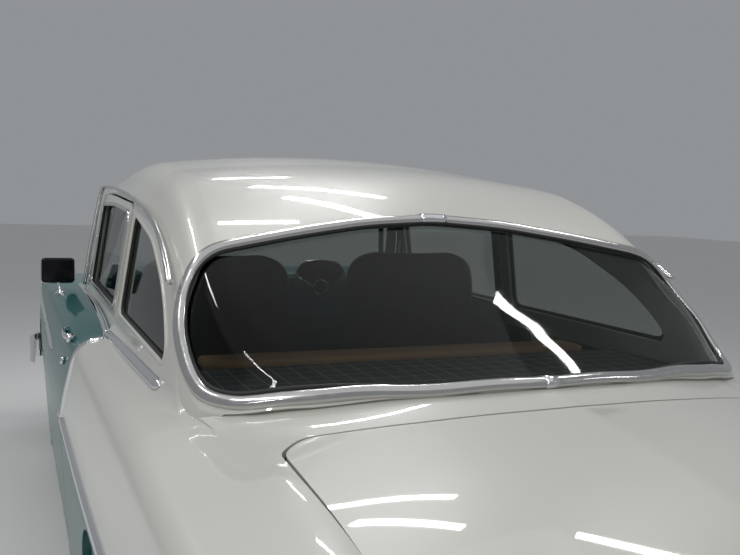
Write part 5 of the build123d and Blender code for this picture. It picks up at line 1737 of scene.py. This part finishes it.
# %% [markdown]
# ## Wheels
# A wheel is round in every part, so all of it is turned about the axle: the tyre's carcass, the white
# band on its outer side, the painted rim, a bright trim ring, the hub cap, and the brake drum behind.
# Only the tread is not, because its blocks stand apart.

# %% Make the wheels
TYRE_RADIUS = 346.0
# Profiles turned about the axle. Columns: place outwards along the axle, radius
CARCASS = [(-60, 192), (-70, 205), (-80, 235), (-85, 268), (-83, 300), (-74, 326), (-60, 338), (-50, 340),
           (50, 340), (60, 338), (74, 326), (83, 300), (85, 268), (80, 235), (70, 205), (60, 192)]
WHITE_BAND = [(79.5, 226), (81.6, 234), (84.2, 248), (85.8, 262), (86.0, 274), (84.6, 282), (80, 282),
              (78, 226), (79.5, 226)]
RIM = [(-66, 201), (-62, 186), (-30, 176), (20, 174), (52, 184), (60, 190), (68, 201), (70, 199), (62, 186),
       (50, 168), (38, 158), (34, 150), (38, 132), (46, 116), (46, 100)]
CAP = [(40, 128), (50, 126), (60, 116), (68, 98), (72, 80), (75, 62), (74, 50), (80, 40), (83, 24), (84, 0.2)]
TRIM_RING = [(60, 189), (70, 186), (73, 180), (68, 172), (58, 168), (54, 170)]
DRUM = [(-58, 0.2), (-58, 140), (-12, 142), (-2, 132), (0, 60), (20, 40), (20, 0.2)]
# Columns: name, profile, finish, steps round the axle
TURNED = [("whitewall", WHITE_BAND, whitewall, 96), ("rim", RIM, teal, 72), ("hub_cap", CAP, chrome, 64),
          ("trim_ring", TRIM_RING, stainless, 72), ("drum", DRUM, dull_steel, 48)]
across_car = Matrix.Rotation(math.radians(90), 4, "Y")
for wheel, station, track in (("front", 0.0, 1473.0), ("rear", WHEELBASE, 1494.0)):
    for side, sign in (("left", 1), ("right", -1)):
        body = f"wheel_{wheel}_{side}"
        hub = (sign * track / 2, station, TYRE_RADIUS)
        axle = (sign, 0, 0)
        carcass = turned_body(f"tyre_{wheel}_{side}_walls", CARCASS, hub, axle, tyre_black, body, steps=96,
                              nodes=[f"tyre_{wheel}_{side}"])
        tread = f"tyre_{wheel}_{side}_tread"
        blocks = joined(ribs, tread)
        blocks.transform(placed_at(hub) @ across_car)
        stands_on(linked(tread, blocks), body)
        for name, profile, finish, steps in TURNED:
            turned_body(f"{name}_{wheel}_{side}", profile, hub, axle, finish, body, steps=steps,
                        nodes=[body] if name == "rim" else ())
print("wheels made, turned pieces on each:", 1 + len(TURNED))

# %% [markdown]
# ## Camera
# The camera stands where the photo was taken. Its place, turn and focal length were solved from the car's
# own lines, so that the model can be laid over the photo. Its three axes are worked out from yaw, pitch
# and roll, and become the columns of its matrix.

# %% Set the camera
CAMERA_PLACE = (1059.2, 4589.5, 1426.8)
CAMERA_YAW = 0.41583
CAMERA_PITCH = 0.09639
CAMERA_ROLL = 0.03613
FOCAL_PIXELS = 826.34
PHOTO_WIDTH = 740
SENSOR = 36.0
camera = linked("Camera", bpy.data.cameras.new("Camera"))
bpy.context.scene.camera = camera
ahead = Vector((-math.sin(CAMERA_YAW) * math.cos(CAMERA_PITCH),
                -math.cos(CAMERA_YAW) * math.cos(CAMERA_PITCH), -math.sin(CAMERA_PITCH)))
level_right = Vector((-math.cos(CAMERA_YAW), math.sin(CAMERA_YAW), 0.0))
level_up = level_right.cross(ahead)
right = level_right * math.cos(CAMERA_ROLL) + level_up * math.sin(CAMERA_ROLL)
up = -level_right * math.sin(CAMERA_ROLL) + level_up * math.cos(CAMERA_ROLL)
turn = Matrix((right, up, -ahead)).transposed()
camera.matrix_world = placed_at(CAMERA_PLACE) @ turn.to_4x4()
camera.data.sensor_fit = "HORIZONTAL"
camera.data.sensor_width = SENSOR
camera.data.lens = FOCAL_PIXELS / PHOTO_WIDTH * SENSOR
camera.data.clip_start = 0.05
print("camera lens:", round(camera.data.lens, 2), "mm")

# %% [markdown]
# ## Floor and surround
# Glossy paint shows what is round it, so that has to be made too, if only plainly. An image of a room
# would do it best, but a wide pale floor and an even, slightly blue surround are enough. The floor is
# marked as staging, so that it isn't exported.

# %% Lay the floor and set the surround
FLOOR_REACH = 30.0
ROOM_COLOUR = (0.70, 0.73, 0.76, 1.0)
ROOM_STRENGTH = 0.40
floor_mesh = bpy.data.meshes.new("floor")
floor_mesh.from_pydata([(-FLOOR_REACH, -FLOOR_REACH, 0), (FLOOR_REACH, -FLOOR_REACH, 0),
                        (FLOOR_REACH, FLOOR_REACH, 0), (-FLOOR_REACH, FLOOR_REACH, 0)], [], [(0, 1, 2, 3)])
floor_mesh.materials.append(material("Pale floor", (0.80, 0.80, 0.79, 1.0), roughness=0.8,
                                     grain=(3.0, 0.05, 0, 0.02)))
floor = linked("floor", floor_mesh)
world = bpy.data.worlds.new("Soft room")
bpy.context.scene.world = world
world.use_nodes = True
world.node_tree.nodes["Background"].inputs["Color"].default_value = ROOM_COLOUR
world.node_tree.nodes["Background"].inputs["Strength"].default_value = ROOM_STRENGTH
print("floor:", 2 * FLOOR_REACH, "m wide")

# %% [markdown]
# ## Lamps
# A long thin lamp overhead draws a streak on the paint, and the streak shows how the metal bends. Point
# lamps would only give dots. A tube gives its light by the metre, so one number sets them all. A large
# soft lamp high above fills the shadows.

# %% Hang the lamps
TUBE_HEIGHT = 3.6
TUBE_WIDTH = 0.09
TUBE_WATTS_PER_METRE = 11.0
SKY_WATTS = 52
# Ceiling tubes. Columns: x, y, length, turn about the upright in degrees
TUBES = [(-0.74, -1.40, 1.2, -46), (-0.14, -0.23, 0.5, -7), (-0.69, -0.73, 0.9, -57), (-2.03, 0.44, 0.9, -44),
         (-0.61, -3.23, 0.8, -46), (1.9, -0.6, 2.2, 90), (1.9, 2.6, 2.2, 90), (3.4, 5.2, 1.5, 0),
         (-4.4, 3.8, 1.5, 0)]


def ceiling_lamp(name, place, size, watts, turn_z=0.0):
    """A soft rectangular lamp that shines down. place and size are metres."""
    light = bpy.data.lights.new(name, "AREA")
    light.shape = "RECTANGLE"
    light.size, light.size_y = size
    light.energy = watts
    lamp = linked(name, light)
    lamp.location = place
    lamp.rotation_euler = (0, 0, turn_z)


for k, (x, y, length, degrees) in enumerate(TUBES):
    ceiling_lamp(f"tube_{k}", (x, y, TUBE_HEIGHT), (length, TUBE_WIDTH), TUBE_WATTS_PER_METRE * length,
                 math.radians(degrees))
ceiling_lamp("sky", (0.5, 2.0, 5.5), (7.0, 7.0), SKY_WATTS)
bpy.context.scene.view_settings.view_transform = "Standard"
print("tubes:", len(TUBES))
